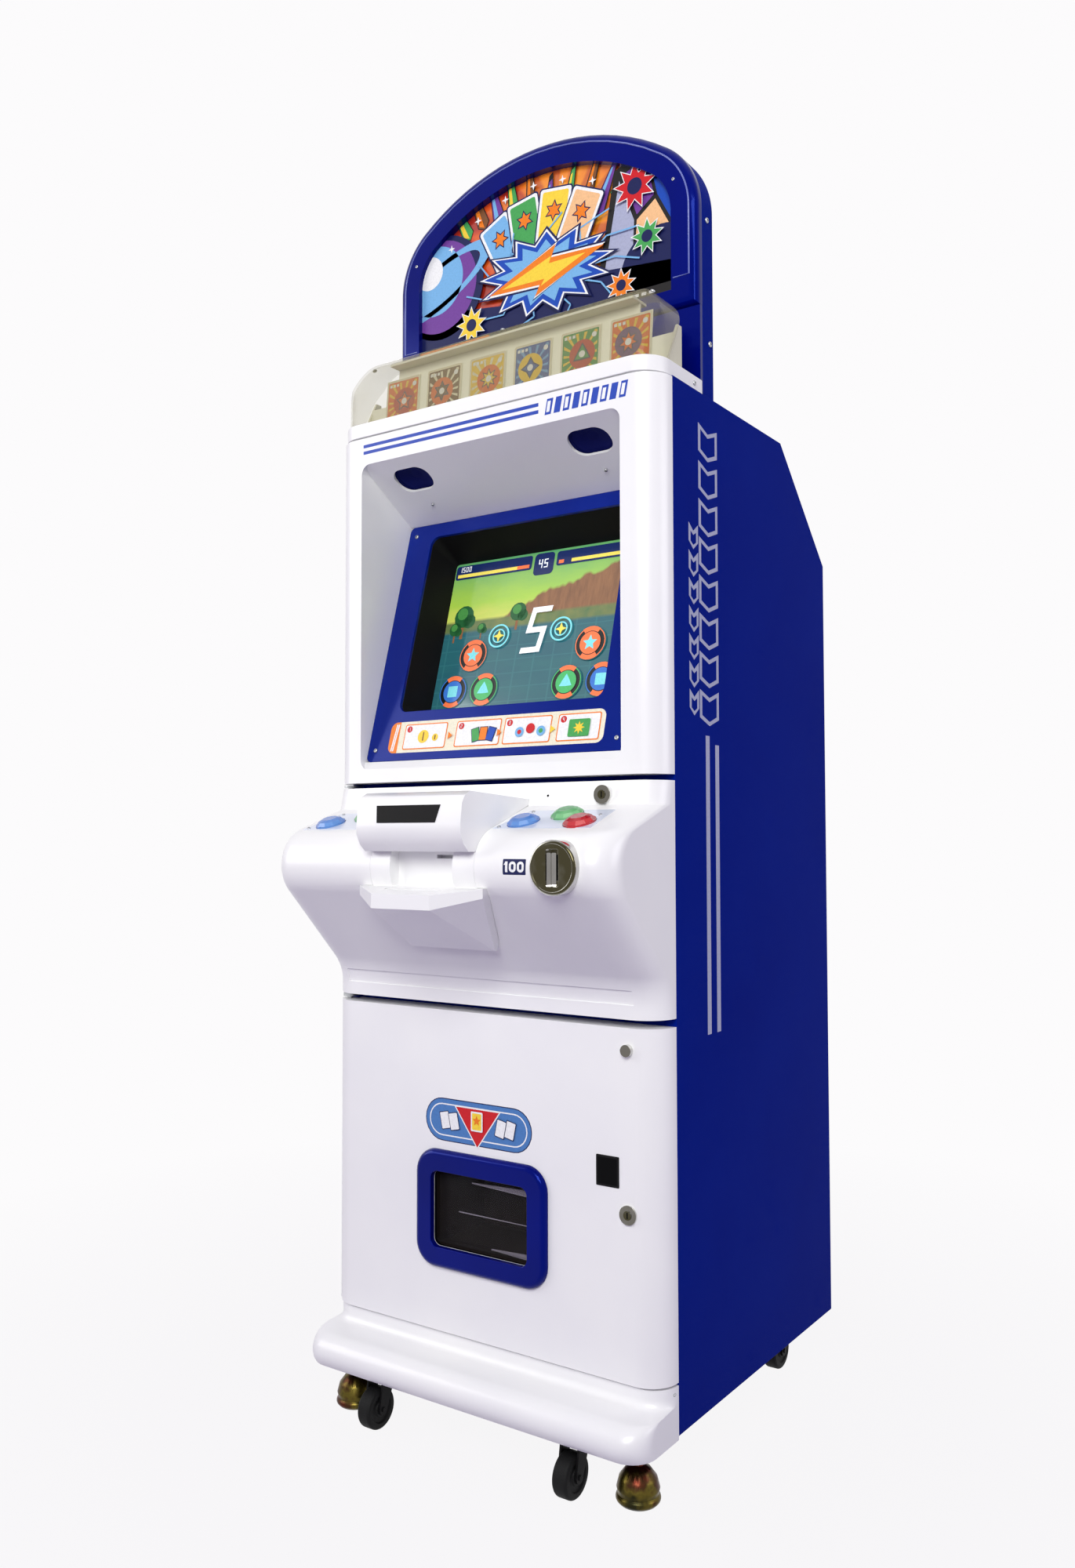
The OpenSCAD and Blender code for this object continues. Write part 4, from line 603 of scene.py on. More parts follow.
def star(u, v, outer, inner, points, turn=90.0):
    shape = []
    for i in range(2 * points):
        r = outer if i % 2 == 0 else inner
        a = math.radians(turn + 180 * i / points)
        shape.append((u + r * math.cos(a), v + r * math.sin(a)))
    return [shape]


def wedge(u, v, r, start, end):
    steps = 5
    arc = [math.radians(start + (end - start) * i / steps) for i in range(steps + 1)]
    return [[(u, v)] + [(u + r * math.cos(a), v + r * math.sin(a)) for a in arc]]


def line(path, width):
    """A band of even width along a path."""
    shapes = []
    for (u0, v0), (u1, v1) in zip(path, path[1:]):
        length = math.hypot(u1 - u0, v1 - v0)
        du, dv = (v1 - v0) / length * width / 2, (u0 - u1) / length * width / 2
        shapes.append([(u0 + du, v0 + dv), (u1 + du, v1 + dv), (u1 - du, v1 - dv),
                       (u0 - du, v0 - dv)])
    return shapes


def moved(shapes, u=0.0, v=0.0, turn=0.0, scale=1.0):
    c, s = math.cos(math.radians(turn)) * scale, math.sin(math.radians(turn)) * scale
    return [[(u + c * p - s * q, v + s * p + c * q) for p, q in shape] for shape in shapes]


def stretched(shapes, across=1.0, up=1.0):
    return [[(p * across, q * up) for p, q in shape] for shape in shapes]


def card(half_wide, half_high, r, u, v, turn=0.0):
    """A card's outline round its middle."""
    return moved(rect(-half_wide, -half_high, half_wide, half_high, r), u, v, turn)


def clipped(shape, outline):
    """What of a shape lies inside a convex, anticlockwise outline."""
    for (u0, v0), (u1, v1) in zip(outline, outline[1:] + outline[:1]):
        def side(p):
            return (u1 - u0) * (p[1] - v0) - (v1 - v0) * (p[0] - u0)
        kept = []
        for p, q in zip(shape, shape[1:] + shape[:1]):
            a, b = side(p), side(q)
            if a >= 0:
                kept.append(p)
            if (a < 0) != (b < 0):
                t = a / (a - b)
                kept.append((p[0] + t * (q[0] - p[0]), p[1] + t * (q[1] - p[1])))
        shape = kept
        if len(shape) < 3:
            return []
    return shape


SEGMENTS = {"0": "abcdef", "1": "bc", "2": "abged", "3": "abgcd", "4": "fgbc", "5": "afgcd"}


def digits(text, u, v, height, slant=0.0):
    """Block figures made of bars, as a display shows them."""
    w, bar = height * 0.5, height * 0.14
    mid, gap = height / 2, height * 0.01
    bars = {"a": (0, height - bar, w, height), "g": (0, mid - bar / 2, w, mid + bar / 2),
            "d": (0, 0, w, bar), "f": (0, mid, bar, height), "e": (0, 0, bar, mid),
            "b": (w - bar, mid, w, height), "c": (w - bar, 0, w, mid)}
    shapes = []
    for i, figure in enumerate(text):
        for name in SEGMENTS[figure]:
            u0, v0, u1, v1 = bars[name]
            corners = rect(u0 + gap, v0 + gap, u1 - gap, v1 - gap)[0]
            shapes.append([(u + i * w * 1.35 + p + q * slant, v + q) for p, q in corners])
    return shapes


class Print:
    """Flat shapes on one face, each layer a little higher than the one before."""

    def __init__(self, place, start=0.05, step=0.1, outline=None, inks=None):
        self.place = place
        self.height = start
        self.step = step
        self.outline = outline
        self.inks = inks or ink
        self.faces = []
        self.materials = []

    def layer(self, colour, *groups):
        """Adds shapes in an ink of that name, or in a finish."""
        material = self.inks[colour] if isinstance(colour, str) else colour
        if material not in self.materials:
            self.materials.append(material)
        for shapes in groups:
            for shape in shapes:
                kept = clipped(shape, self.outline) if self.outline else shape
                if len(kept) > 2:
                    self.faces.append((self.materials.index(material), self.height, kept))
        self.height += self.step

    def make(self, name, body):
        bm = bmesh.new()
        for index, height, shape in self.faces:
            corners = [bm.verts.new(self.place(u, v, height)) for u, v in shape]
            face = bm.faces.new(corners)
            face.material_index = index
        obj = as_object(bm, name, self.materials)
        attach(obj, body)


# Faces that carry prints: across, up and out of the face, in mm

SIDES = ((1, "right"), (-1, "left"))
SCREEN_DEEP = -54
# The game picture's foot and height, in metres
SCREEN_LOW, SCREEN_SPAN = 0.826, 0.22
CARD_PITCH = 72.5
ART_FACE = 94.5
WINDOW_INSET, WINDOW_FOOT = 34, 1418
SIGN_FACE = 83
BEAD_INSET, BEAD_FOOT = 11, 1434
BURST = (10, 1496)
NOSE_CENTRE = (-107, 706.15)
NOSE_R = 47
COIN_FLOOR = -150
PANEL_LOCK_FACE, DOOR_LOCK_FACE = -50.6, -41.1


def upright(y):
    return lambda u, v, h: point(u, y - h, v)


def on_side(side):
    return lambda u, v, h: point(side * (BODY_HALF + h), u, v)


def leaning(foot, lean):
    c, s = math.cos(lean), math.sin(lean)
    return lambda u, v, h: point(u, foot[0] + v * s - h * c, foot[1] + v * c + h * s)


def round_nose(u, v, h):
    a = (v - NOSE_CENTRE[1]) / NOSE_R
    r = NOSE_R + h
    return point(u, NOSE_CENTRE[0] - r * math.cos(a), NOSE_CENTRE[1] + r * math.sin(a))


door_face = upright(DOOR_FACE)
monitor_face = leaning((-28, 840.5), math.radians(15.4))
board_face = leaning((18, 1280), math.radians(5))
deck_face = leaning((-47, 778), math.radians(70))
strip_face = leaning((-47, 778), math.atan2(7, 27.5))


# Inks


def inks(kind, colours, dim=1.0, **looks):
    """Printed finishes by name, from colours as they are seen."""
    return {name: printed(f"{kind}_{name}", tint(*(dim * c for c in rgb)), **looks)
            for name, rgb in colours.items()}


ink = inks("ink", {
    "white": (240, 241, 242), "black": (22, 20, 22), "navy": (14, 22, 76), "blue": (22, 72, 176),
    "sky": (120, 178, 226), "orange": (238, 128, 34), "yellow": (246, 210, 66),
    "red": (202, 30, 38), "green": (70, 160, 84), "purple": (112, 62, 150),
    "cream": (236, 230, 208), "silver": (168, 172, 200), "stripe": (44, 74, 176),
    "peach": (240, 190, 140), "brown": (122, 78, 46), "steel": (76, 124, 186)})
# The card inks are dimmed to 0.8 as painted shade: the cards stand in shade behind the clear cover
# under the header.
shaded_card_ink = inks("card", {
    "cream": (232, 222, 188), "orange": (226, 96, 26), "yellow": (240, 196, 46),
    "red": (186, 26, 30), "green": (56, 140, 66), "purple": (96, 46, 110),
    "navy": (20, 26, 80), "blue": (26, 72, 150), "sky": (104, 160, 206),
    "brown": (106, 62, 34), "white": (240, 238, 226)}, dim=0.8, roughness=0.3, coat=0.3)
lit = inks("lit", {
    "white": (232, 236, 240), "black": (12, 18, 20), "navy": (16, 34, 84), "blue": (52, 108, 190),
    "teal": (22, 84, 92), "orange": (228, 112, 66), "yellow": (226, 208, 90),
    "green": (66, 168, 96), "cyan": (120, 206, 214), "brown": (128, 86, 54),
    "leaf": (28, 84, 44), "grass": (64, 130, 62)}, roughness=0.2, coat=0.6, glow=0.45)


def rays_finish(name, centre, turns):
    """A back-lit print: rays from a centre, hot in the middle and dark at the rim."""
    f = Finish(name)
    x, y, z = f.axes()
    across, up = x - centre[0], z - centre[1]
    angle = up.maths("ARCTAN2", up, across)
    far = (across * across + up * up).root()
    flame = f.noise(14, 5, 0.6)
    rays = (angle * turns + flame * 3.5).sine().rise(-0.5, 0.5)
    heat = f.ramp(far * 3.4 + flame * 0.5 - 0.25, [
        (0.0, tint(250, 220, 100)), (0.25, tint(236, 140, 30)), (0.45, tint(206, 60, 16)),
        (0.66, tint(120, 18, 14)), (0.9, tint(24, 8, 20))])
    cool = f.ramp(far * 3.0 + flame * 0.4 - 0.2, [
        (0.0, tint(236, 150, 50)), (0.35, tint(170, 40, 16)), (0.62, tint(66, 12, 24)),
        (0.9, tint(12, 10, 34))])
    colour = f.mix(rays, cool, heat)
    return f.surface(Base_Color=colour, Roughness=0.22 + flame * 0.08, Coat_Weight=0.5,
                     Emission_Color=colour, Emission_Strength=0.06)


def landscape_finish(name):
    """The lit game picture: hazy sky, a cliff, grass and dark water with a faint grid."""
    f = Finish(name)
    x, y, z = f.axes()
    up = (z - SCREEN_LOW) * (1 / SCREEN_SPAN)
    cloud = f.noise(18, 5, 0.6, (1, 1, 3))
    sky = f.ramp((up - 0.9) * 2.0 + cloud * 0.3 - 0.15, [
        (0.0, tint(204, 196, 96)), (0.35, tint(150, 186, 66)), (1.0, tint(62, 142, 96))])
    ridge = f.noise(9, 4, 0.6, (1, 1, 0)) * 0.4 + x * 1.5
    cliff = f.mix(f.noise(60, 4, 0.6, (3, 1, 0.4)), tint(150, 104, 64), tint(78, 46, 30))
    scene = f.mix((0.84 + ridge - up).rise(0.0, 0.02), sky, cliff)
    grass = f.mix(f.noise(70, 3), tint(120, 120, 62), tint(48, 92, 58))
    scene = f.mix((0.97 - up).rise(0.0, 0.02), scene, grass)
    lines = ((x * 210).sine().rise(0.95, 0.99) + (z * 330).sine().rise(0.95, 0.99)).at_most(1)
    water = f.mix(f.noise(26, 4, 0.6, (0.4, 1, 2)), tint(20, 74, 92), tint(34, 96, 98))
    water = f.mix(lines * 0.12, water, tint(70, 146, 146))
    scene = f.mix((0.9 - up).rise(0.0, 0.02), scene, water)
    return f.surface(Base_Color=scene, Roughness=0.14, Coat_Weight=0.7, Coat_Roughness=0.05,
                     Emission_Color=scene, Emission_Strength=0.45)


def chevron(u, v, width, height, dip):
    wing = width / 2
    return [[(u - wing, v + dip), (u, v), (u + wing, v + dip), (u + wing, v + dip + height),
             (u, v + height), (u - wing, v + dip + height)]]


def dress_sides():
    for side, name in SIDES:
        sheet = Print(on_side(side), step=0.04)
        bars = [(82.5, 862), (107.5, 852)]
        sheet.layer("silver", *[rect(y - 5, 506, y + 5, top) for y, top in bars])
        tall = [(88, 874 + 46 * i, 50, 34) for i in range(8)]
        small = [(49, 884 + 33 * i, 24, 22) for i in range(7)]
        sheet.layer("silver", *[chevron(y, z, w, h, 9) for y, z, w, h in tall + small])
        sheet.layer(blue_paint, *[chevron(y, z + 5, w - 12, h - 10, 7) for y, z, w, h in tall],
                    *[chevron(y, z + 5, w - 10, h - 10, 4) for y, z, w, h in small])
        sheet.make("side_print_" + name, "cabinet")


def dress_bezel():
    sheet = Print(upright(-SHELL_OUT))
    sheet.layer("stripe", *[rect(-198, z - 2.2, 87, z + 2.2) for z in (1263.7, 1255)])
    block = [[(96, 1249), (105, 1249), (109, 1268), (100, 1268)]]
    core = [[(98.5, 1252), (103, 1252), (105.5, 1265), (101, 1265)]]
    sheet.layer("stripe", *[moved(block, 13 * i) for i in range(9)])
    sheet.layer("white", *[moved(core, 13 * i) for i in range(0, 9, 2)])
    sheet.make("bezel_print", "cabinet")


def dress_monitor():
    strip = Print(monitor_face, outline=rect(-166, 11, 168, 54, 10)[0])
    strip.layer("cream", rect(-166, 11, 168, 54))
    strip.layer("orange", rect(-166, 11, -150, 54))
    strip.layer("white", *[line([(-160 + dx, 14), (-156 + dx, 51)], 2) for dx in (0, 3)])
    spots = ((-138, 68), (-52, 68), (24, 68), (104, 58))
    strip.layer("orange", *[rect(u - 3, 15, u + wide, 50, 3) for u, wide in spots])
    strip.layer("white", *[rect(u - 1.5, 16.5, u + wide - 1.5, 48.5, 2) for u, wide in spots])
    strip.layer("red", *[disc(u + 5, 43, 4.4) for u, wide in spots])
    strip.layer("white", *[digits(str(i + 1), spots[i][0] + 3.5, 40.4, 5.2) for i in range(4)])
    strip.layer("yellow", disc(-108, 32, 9), disc(-88, 30, 5))
    strip.layer("brown", rect(-109, 26, -107, 38), rect(-89, 27, -87, 33))
    fan = [(-22, 30, 14, "green"), (-10, 31, 0, "orange"), (2, 30, -14, "blue")]
    strip.layer("navy", *[card(6.4, 9.4, 0, u, v, turn) for u, v, turn, colour in fan])
    for u, v, turn, colour in fan:
        strip.layer(colour, card(5.4, 8.4, 0, u, v, turn))
    strip.layer("sky", disc(46, 30, 6.5), disc(78, 30, 6.5))
    strip.layer("red", disc(62, 34, 6.5), disc(46, 30, 3))
    strip.layer("green", disc(78, 30, 3), rect(118, 20, 148, 42, 2))
    strip.layer("yellow", star(133, 31, 8.5, 4, 8), [[(92, 26), (99, 31), (92, 36)]])
    strip.layer("orange", [[(-66, 26), (-59, 31), (-66, 36)], [(12, 26), (19, 31), (12, 36)]])
    strip.make("step_strip", "cabinet")

    game = Print(monitor_face, SCREEN_DEEP + 0.1, 0.08, rect(-151.5, 81.5, 151.5, 308.5, 5)[0],
                 lit)
    game.layer(landscape_finish("game_landscape"), rect(-152, 81, 152, 309))
    trees = [(-122, 226, 1.5), (-134, 208, 0.9), (-88, 206, 0.7), (-30, 224, 1.2)]
    game.layer("brown", *[rect(u - 1.6 * s, v - 22 * s, u + 1.6 * s, v) for u, v, s in trees])
    game.layer("leaf", *[disc(u, v, 11 * s, 14) for u, v, s in trees],
               *[disc(u + 7 * s, v - 5 * s, 7 * s, 12) for u, v, s in trees])
    game.layer("grass", *[disc(u - 2 * s, v + 3 * s, 6 * s, 12) for u, v, s in trees])
    game.layer("navy", rect(-150, 284, -20, 305, 4), rect(20, 284, 150, 305, 4),
               rect(-16, 274, 16, 306, 6))
    game.layer("yellow", rect(-146, 287, -44, 292), rect(44, 287, 146, 292))
    game.layer("orange", rect(-44, 287, -24, 292), rect(24, 287, 32, 292))
    game.layer("white", digits("1500", -144, 295, 8), digits("1200", 118, 295, 8),
               digits("45", -8.5, 284, 13))
    for sign in (-1, 1):
        spots = [(94 * sign, 166, "orange"), (66 * sign, 115, "green"), (118 * sign, 115, "blue")]
        game.layer("teal", *[disc(u, v, 24) for u, v, c in spots])
        game.layer("black", *[disc(u, v, 22.5) for u, v, c in spots])
        for u, v, colour in spots:
            game.layer(colour, ring(u, v, 22.4, 21))
        for start in (55, 235):
            game.layer("orange", *[wedge(u, v, 23, start, start + 70) for u, v, c in spots])
        game.layer("black", *[disc(u, v, 16.5) for u, v, c in spots])
        for u, v, colour in spots:
            game.layer(colour, disc(u, v, 15.5))
        game.layer("cyan", star(spots[0][0], 166, 11, 5, 5), star(spots[1][0], 115, 11, 6, 3),
                   star(spots[2][0], 115, 11, 8, 4, 45))
    game.layer("white", digits("5", -16, 160, 66, 0.18))
    for u in (-54, 46):
        game.layer("cyan", ring(u, 190, 17, 14.5), ring(u, 190, 10.2, 8.2))
        game.layer("yellow", star(u, 190, 9.35, 3.4, 4))
    game.make("game_picture", "cabinet")


# Each card's three inks and the points of its star
CARD_LOOKS = (("orange", "red", "yellow", 5), ("brown", "orange", "cream", 6),
              ("yellow", "orange", "cream", 8), ("blue", "yellow", "sky", 4),
              ("green", "red", "yellow", 3), ("orange", "purple", "yellow", 7))


def dress_cards():
    for i, (main, second, third, points) in enumerate(CARD_LOOKS):
        u = (i - 2.5) * CARD_PITCH
        middle = u + 3 * (-1) ** i
        front = Print(board_face, 1.45, 0.06, rect(u - 29.3, 7.5, u + 29.3, 93.1, 3)[0], shaded_card_ink)
        front.layer("cream", rect(u - 30, 7, u + 30, 94))
        front.layer(main, rect(u - 26.5, 10.5, u + 26.5, 90, 2))
        inner = rect(u - 24.5, 26, u + 24.5, 88, 2)[0]
        front.layer(third, [clipped(wedge(u, 58, 60, a, a + 8)[0], inner)
                            for a in range(0, 360, 24)])
        front.layer(second, disc(middle, 60, 19), rect(u - 26.5, 12, u + 10, 24),
                    moved([[(-24, 26), (24, 26), (24, 40), (6, 33), (-10, 44), (-24, 36)]], u))
        front.layer("navy", star(middle, 60, 15, 8, points))
        front.layer(main, star(middle, 60, 12, 6, points))
        front.layer("white", disc(middle, 60, 4.5), disc(u + 20, 82, 3.5),
                    *[rect(u - 24 + 6 * k, 83, u - 20 + 6 * k, 87) for k in range(3)])
        front.make(f"card_print_{i + 1}", "cabinet")


def arch_outline(inset, z0):
    """The sign's three-centred arch, shrunk by inset, as in the CAD source."""
    half, r1, r2, spring = 240, 105, 335, 1521
    cx = half - r1
    crown = spring - math.sqrt((r2 - r1) ** 2 - cx ** 2)
    lean = math.degrees(math.atan2(cx, spring - crown))
    points = [(-half + inset, z0), (half - inset, z0)]
    for u, v, r, start, end in ((cx, spring, r1, 0, 90 - lean),
                                (0, crown, r2, 90 - lean, 90 + lean),
                                (-cx, spring, r1, 90 + lean, 180)):
        for k in range(14):
            a = math.radians(start + (end - start) * k / 14)
            points.append((u + (r - inset) * math.cos(a), v + (r - inset) * math.sin(a)))
    return points + [(-half + inset, spring)]


# Splinters of crystal behind the cards: foot across and up, lean and length
SHARDS = [(-150 + 27 * i, 1572 + 22 * math.sin(i * 0.62), 34 - 6.5 * i, 62 + 16 * (i % 3))
          for i in range(11)]
SHARD_INKS = ("purple", "green", "brown")
SHARD_LIGHTS = ("sky", "yellow", "orange")
# The large crystal at the sign's right: its outline, then its facets
CRYSTAL = (("black", [(92, 1462), (214, 1462), (214, 1562), (168, 1622), (118, 1600)]),
           ("silver", [(102, 1468), (144, 1468), (147, 1528), (125, 1586)]),
           ("purple", [(151, 1534), (176, 1553), (164, 1606), (130, 1591)]),
           ("peach", [(148, 1468), (198, 1468), (204, 1498), (178, 1547), (151, 1527)]),
           ("blue", [(181, 1552), (206, 1505), (206, 1560), (169, 1604)]))


def bead(name, place, path, r, material):
    """A half-round raised line along an open path on a face."""
    bm = bmesh.new()
    sections = []
    for before, here, after in zip(path[:1] + path, path, path[1:] + path[-1:]):
        ahead = (after[0] - before[0], after[1] - before[1])
        far = math.hypot(*ahead)
        side = (ahead[1] / far, -ahead[0] / far)
        sections.append([bm.verts.new(place(here[0] + side[0] * r * math.cos(a),
                                            here[1] + side[1] * r * math.cos(a), r * math.sin(a)))
                         for a in (math.radians(30 * k) for k in range(7))])
    for low, high in zip(sections, sections[1:]):
        for i in range(6):
            bm.faces.new((low[i], low[i + 1], high[i + 1], high[i]))
    bm.faces.new(sections[0])
    bm.faces.new(sections[-1][::-1])
    obj = smoothed(bm, name, material, 60)
    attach(obj, "cabinet")


def dress_sign():
    window = arch_outline(WINDOW_INSET, WINDOW_FOOT)
    art = Print(upright(ART_FACE), outline=window)
    art.layer(rays_finish("sign_rays", (0.03, 1.548), 17), [window])
    for k, (u, v, turn, length) in enumerate(SHARDS):
        shard = [[(-9, 0), (0, -8), (9, 0), (3, length), (-2, length * 0.94)]]
        edge = [[(-7, 1), (0, -5), (0.5, length * 0.9), (-2, length * 0.86)]]
        art.layer("black", moved(shard, u, v, turn, 1.15))
        art.layer(SHARD_INKS[k % 3], moved(shard, u, v, turn))
        art.layer(SHARD_LIGHTS[k % 3], moved(edge, u, v, turn))
    for colour, facet in CRYSTAL:
        art.layer(colour, [facet])
    art.layer("navy", disc(-168, 1520, 74, 48), disc(186, 1452, 60, 40),
              [[(-210, 1418), (210, 1418), (210, 1462), (60, 1478), (-60, 1468), (-210, 1490)]])
    art.layer("purple", disc(-172, 1522, 66, 48))
    art.layer("sky", disc(-180, 1532, 50, 48),
              moved(stretched(ring(0, 0, 101.5, 78.3), up=0.3), -172, 1522, 24))
    art.layer("white", disc(-190, 1546, 24, 32),
              *[star(-150 + 47 * i, 1620 - 9 * (i - 3) ** 2 * 0.6, 6, 2, 4) for i in range(7)])
    for u, v, turn, colour in ((-62, 1556, 26, "sky"), (-22, 1570, 9, "green"),
                               (24, 1570, -8, "yellow"), (66, 1556, -25, "peach")):
        art.layer("navy", card(27, 38, 5, u, v, turn))
        art.layer("white", card(25, 36, 4, u, v, turn))
        art.layer(colour, card(21, 32, 3, u, v, turn))
        art.layer("navy", moved(star(0, 6, 15, 8, 6), u, v, turn))
        art.layer("orange", moved(star(0, 6, 12, 6, 6), u, v, turn))
    art.layer("sky", *[line([(20, 1496), (20 + 74 * math.cos(a), 1496 + 34 * math.sin(a)),
                             (16 + 104 * math.cos(a + 0.2), 1492 + 54 * math.sin(a + 0.2)),
                             (20 + 142 * math.cos(a), 1496 + 74 * math.sin(a))], 2.2)
                       for a in (0.3 + 0.57 * i for i in range(11))])
    for reach, colour in ((1.0, "navy"), (0.93, "white"), (0.87, "blue"), (0.7, "sky")):
        points = star(0, 0, 62 * reach, 42 * reach, 13)
        art.layer(colour, moved(stretched(points, 1.9), *BURST, -4))
    for grow, colour in ((5, "navy"), (2.5, "white"), (0, "orange")):
        bolt = [[(-92 - grow, -8 - grow), (-8, -16 - grow), (-16 - grow, -30 - grow),
                 (94 + grow, 8 + grow), (12, 16 + grow), (20 + grow, 32 + grow)]]
        art.layer(colour, moved(bolt, *BURST, 2))
    art.layer("yellow", moved([[(-70, -5), (0, -10), (-6, -18), (66, 6), (8, 9), (12, 18)]],
                              *BURST, 2))
    for u, v, r, colour in ((150, 1570, 30, "red"), (168, 1500, 22, "green"),
                            (-112, 1452, 24, "yellow"), (130, 1446, 20, "orange")):
        art.layer("white", star(u, v, r + 3, (r + 3) * 0.55, 9))
        art.layer(colour, star(u, v, r, r * 0.55, 9))
        art.layer("navy", disc(u, v, r * 0.36))
    art.layer("black", rect(-210, 1418, 210, 1433))
    art.layer("white", *[rect(-60 + 11 * i, 1424, -53 + 11 * i, 1428) for i in range(22)])
    art.layer("orange", rect(-205, 1420, -80, 1431, 3))
    art.layer("yellow", *[disc(-196 + 14 * i, 1425.5, 3.4, 16) for i in range(8)])
    art.make("sign_picture", "cabinet")
    # A raised bead round the sign frame, light blue as a painted highlight line.
    arch = arch_outline(BEAD_INSET, BEAD_FOOT)
    bead("sign_highlight_bead", upright(SIGN_FACE),
         [(207, BEAD_FOOT)] + arch[1:] + arch[:1] + [(-207, BEAD_FOOT)], 1.1, bead_highlight_blue)


def dress_panel():
    label = Print(round_nose, step=0.08)
    slices = [rect(-1000, 690 + 2 * k, 1000, 692 + 2 * k)[0] for k in range(16)]

    def curved(shapes):
        return [part for s in slices for part in (clipped(shape, s) for shape in shapes) if part]

    label.layer("navy", curved(rect(118, 699.6, 149, 717, 1.2)))
    label.layer("white", curved(rect(121.4, 702.4, 124.6, 714.2)),
                curved([[(119.4, 710.4), (121.5, 710.4), (121.5, 714.2)]]),
                *[curved(border(u, 702.4, u + 9.2, 714.2, 4.2, 2.9)) for u in (126.6, 137.4)])
    label.make("price_label", "control_head")


def dress_door():
    sign = Print(door_face, step=0.12)
    sign.layer("navy", rect(-87, 363, 76, 416, 26.5))
    sign.layer("steel", rect(-85.8, 364.2, 74.8, 414.8, 25.3))
    sign.layer("white", border(-80.5, 369.5, 69.5, 409.5, 20, 1.6))
    middle = -5.5
    sign.layer("white", [[(middle - 36, 409), (middle, 359.5), (middle + 36, 409)]])
    sign.layer("red", [[(middle - 33, 407.5), (middle, 362), (middle + 33, 407.5)]])
    for away, turn in ((-50, 12), (-36, 12), (50, -12), (36, -12)):
        sign.layer("navy", card(7.5, 11, 1.5, middle + away, 389, turn))
        sign.layer("white", card(6.5, 10, 1, middle + away, 389, turn))
    sign.layer("white", card(9, 12, 1.5, middle, 393))
    sign.layer("yellow", card(7, 10, 1, middle, 393))
    sign.layer("orange", star(middle, 394, 6.5, 3, 5))
    sign.make("outlet_sign", "door")


dress_sides()
dress_bezel()
dress_monitor()
dress_cards()
dress_sign()
dress_panel()
dress_door()


# Small fasteners and fittings


def screw_mesh(name, r):
    """A pan-head screw with a cross recess, on its head's underside plane."""
    bm = bmesh.new()
    arm, wide = 0.52 * r, 0.15 * r

    def cross(a):
        a = (a + math.pi / 4) % (math.pi / 2) - math.pi / 4
        return arm / math.cos(a) if abs(arm * math.tan(a)) <= wide else wide / abs(math.sin(a))

    rings = []
    for reach, height in ((1.0, -0.1), (1.0, 0.2), (0.93, 0.38), (0.8, 0.5), (0.66, 0.56),
                          (None, 0.57), (None, 0.12)):
        spans = [(a, reach * r if reach else cross(a))
                 for a in (2 * math.pi * i / 32 for i in range(32))]
        rings.append([bm.verts.new((far * math.cos(a), far * math.sin(a), r * height))
                      for a, far in spans])
    bridge(bm, rings)
    bm.faces.new(rings[-1])
    bm.faces.new(rings[0][::-1])
    obj = smoothed(bm, name, screw_steel, 30)
    mesh = obj.data
    bpy.data.objects.remove(obj)
    return mesh


SCREWS = {r: screw_mesh(f"screw_{int(r * 10)}", r / 1000) for r in (2.2, 3.0, 3.6)}


def fasten(name, where, out, body, r=3.0):
    obj = bpy.data.objects.new(name, SCREWS[r])
    turn = Vector(out).to_track_quat("Z", "Y").to_matrix().to_4x4()
    spin = Matrix.Rotation(random.uniform(0, math.pi), 4, "Z")
    obj.matrix_world = Matrix.Translation(where) @ turn @ spin
    bpy.context.scene.collection.objects.link(obj)
    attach(obj, body)


def facing(place):
    """The outward direction of a flat face."""
    return (place(0, 0, 5) - place(0, 0, 0)).normalized()


# How deep the shell screws sit in the rounded corner, in metres
SUNK = 0.0019


def shell_side(side, y):
    """A point's x and outward direction on the shells' rounded front corner."""
    r, centre_x, centre_y = 36, 214, -2
    dx = math.sqrt(r * r - (y - centre_y) ** 2)
    return side * (centre_x + dx), Vector((side * dx, y - centre_y, 0)) / r


def add_screws():
    for side, word in SIDES:
        for i, (y, z) in enumerate(((-18, 1246), (-8, 1046), (-8, 838), (-8, 118))):
            x, out = shell_side(side, y)
            fasten(f"shell_screw_{word}_{i + 1}", point(x, y, z) - out * SUNK, out, "cabinet")
        for i, (y, z) in enumerate(((109.5, 1508), (115.7, 1353))):
            fasten(f"sign_screw_{word}_{i + 1}", point(240 * side, y, z), (side, 0, 0), "cabinet",
                   3.6)
        fasten(f"header_screw_{word}", point(247 * side, 60, 1286), (side, 0, 0), "cabinet")
        fasten(f"rim_screw_{word}", point(208 * side, 83, 1559), (0, -1, 0), "cabinet", 2.2)
        lean = math.asin(23 / 50)
        fasten(f"cover_screw_{word}", point(220 * side, 8, 1342 + 50 * math.cos(lean)),
               (side * math.sin(lean), 0, math.cos(lean)), "cabinet")
        fasten(f"ceiling_screw_{word}", point(138 * side, 34.5, 1192.3), (0, -0.531, -0.847),
               "cabinet", 2.2)
        for v in (16, 331):
            fasten(f"monitor_screw_{word}_{v}", monitor_face(187 * side, v, 0),
                   facing(monitor_face), "cabinet")
        for i, (u, v) in enumerate(((-64, -76), (-50, -24), (-6, -50), (50, -38))):
            fasten(f"plate_screw_{word}_{i + 1}", deck_face(151 * side + u, v, 0.4),
                   facing(deck_face), "control_head", 2.2)
    fasten("cover_screw_middle", point(0, 8, 1392), (0, 0, 1), "cabinet")


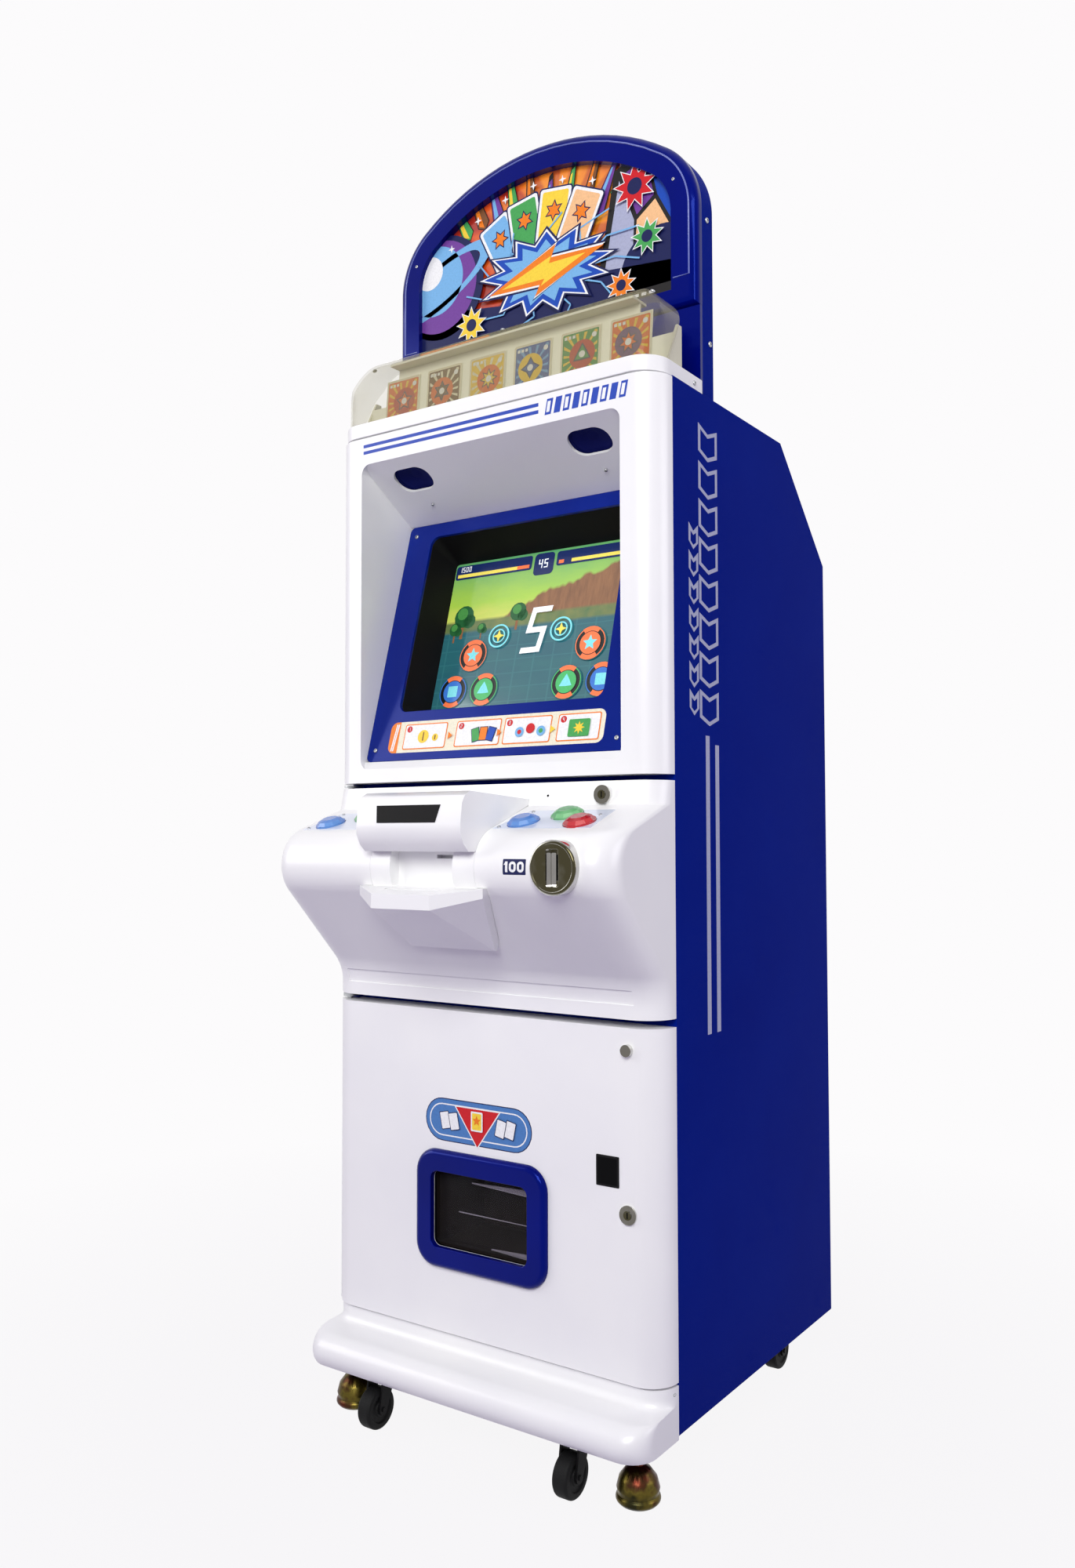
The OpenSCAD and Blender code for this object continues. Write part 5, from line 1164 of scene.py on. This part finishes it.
def slab(name, place, outline, thick, chamfer, material, body):
    """A thin plate on a face, its front edge chamfered."""
    bm = bmesh.new()
    middle = [sum(c) / len(outline) for c in zip(*outline)]
    top = []
    for u, v in outline:
        du, dv = u - middle[0], v - middle[1]
        far = math.hypot(du, dv)
        top.append((u - du / far * chamfer, v - dv / far * chamfer))
    rings = [[bm.verts.new(place(u, v, h)) for u, v in shape] for shape, h in (
        (outline, 0), (outline, thick - chamfer), (top, thick))]
    bridge(bm, rings)
    bm.faces.new(rings[-1])
    obj = smoothed(bm, name, material, 25)
    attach(obj, body)


def liner(name, outline, front, rear, material):
    """A thin band that lines the door's opening."""
    bm = bmesh.new()
    bridge(bm, [[bm.verts.new(point(u, y, v)) for u, v in outline] for y in (front, rear)])
    obj = smoothed(bm, name, material)
    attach(obj, "door")


def add_fittings():
    """The blank plate, flap ridges with painted glints, a liner in painted shade, key slots and
    the like.
    """
    slab("door_blank_plate", door_face, rect(165.5, 344, 196, 379, 1.2)[0], 0.9, 0.4, satin_black,
         "door")
    # Pale ridges on the flap: thin slabs whose light colour is a painted reflection of lamps on
    # the flap.
    for name, u, v, wide in (("flap_glint_ridge_top", -20, 315, 3.8), ("flap_glint_ridge_low", 10, 240, 3),
                             ("flap_glint_ridge_middle", -40, 277, 0.3)):
        taper = [(u, v - 0.6), (64, v - wide), (64, v + wide), (u, v + 0.6)]
        slab(name, upright(FLAP_FACE), taper, 1.4, 0.5, flap_glint_ridge, "flap")
    # The opening's lining is dull black as painted shade: the inner wall of the opening stands in
    # shade behind the frame.
    liner("outlet_shade_liner", rect(-72.8, 233.7, 72.8, 326.3, 9.8)[0], -38.2, -33.8, dull_black)
    film = Print(door_face, 0.95)
    film.layer(dull_black, rect(168, 346.5, 193.5, 376.5, 1))
    film.make("door_blank_film", "door")
    rim = Print(upright(COIN_FLOOR), 0.06)
    rim.layer(bright_chrome, *[rect(u, 685, u + 6.1, 724, 1.5) for u in (180.3, 189.6)])
    rim.make("coin_slot_rim", "control_head")
    hole = Print(strip_face)
    hole.layer(dull_black, disc(104, 12, 1.5, 18))
    hole.make("strip_pinhole", "control_head")
    for name, y, u, v, body in (
            ("panel_key_slot", PANEL_LOCK_FACE, 182, 789.5, "control_head"),
            ("door_key_slot", DOOR_LOCK_FACE, 208, 316.5, "door")):
        slot = Print(upright(y), 0.08, 0.04)
        slot.layer(chrome, disc(u, v, 5.2, 32))
        slot.layer(dull_black, rect(u - 0.8, v - 3.6, u + 0.8, v + 3.6, 0.6))
        slot.make(name, body)


add_screws()
add_fittings()
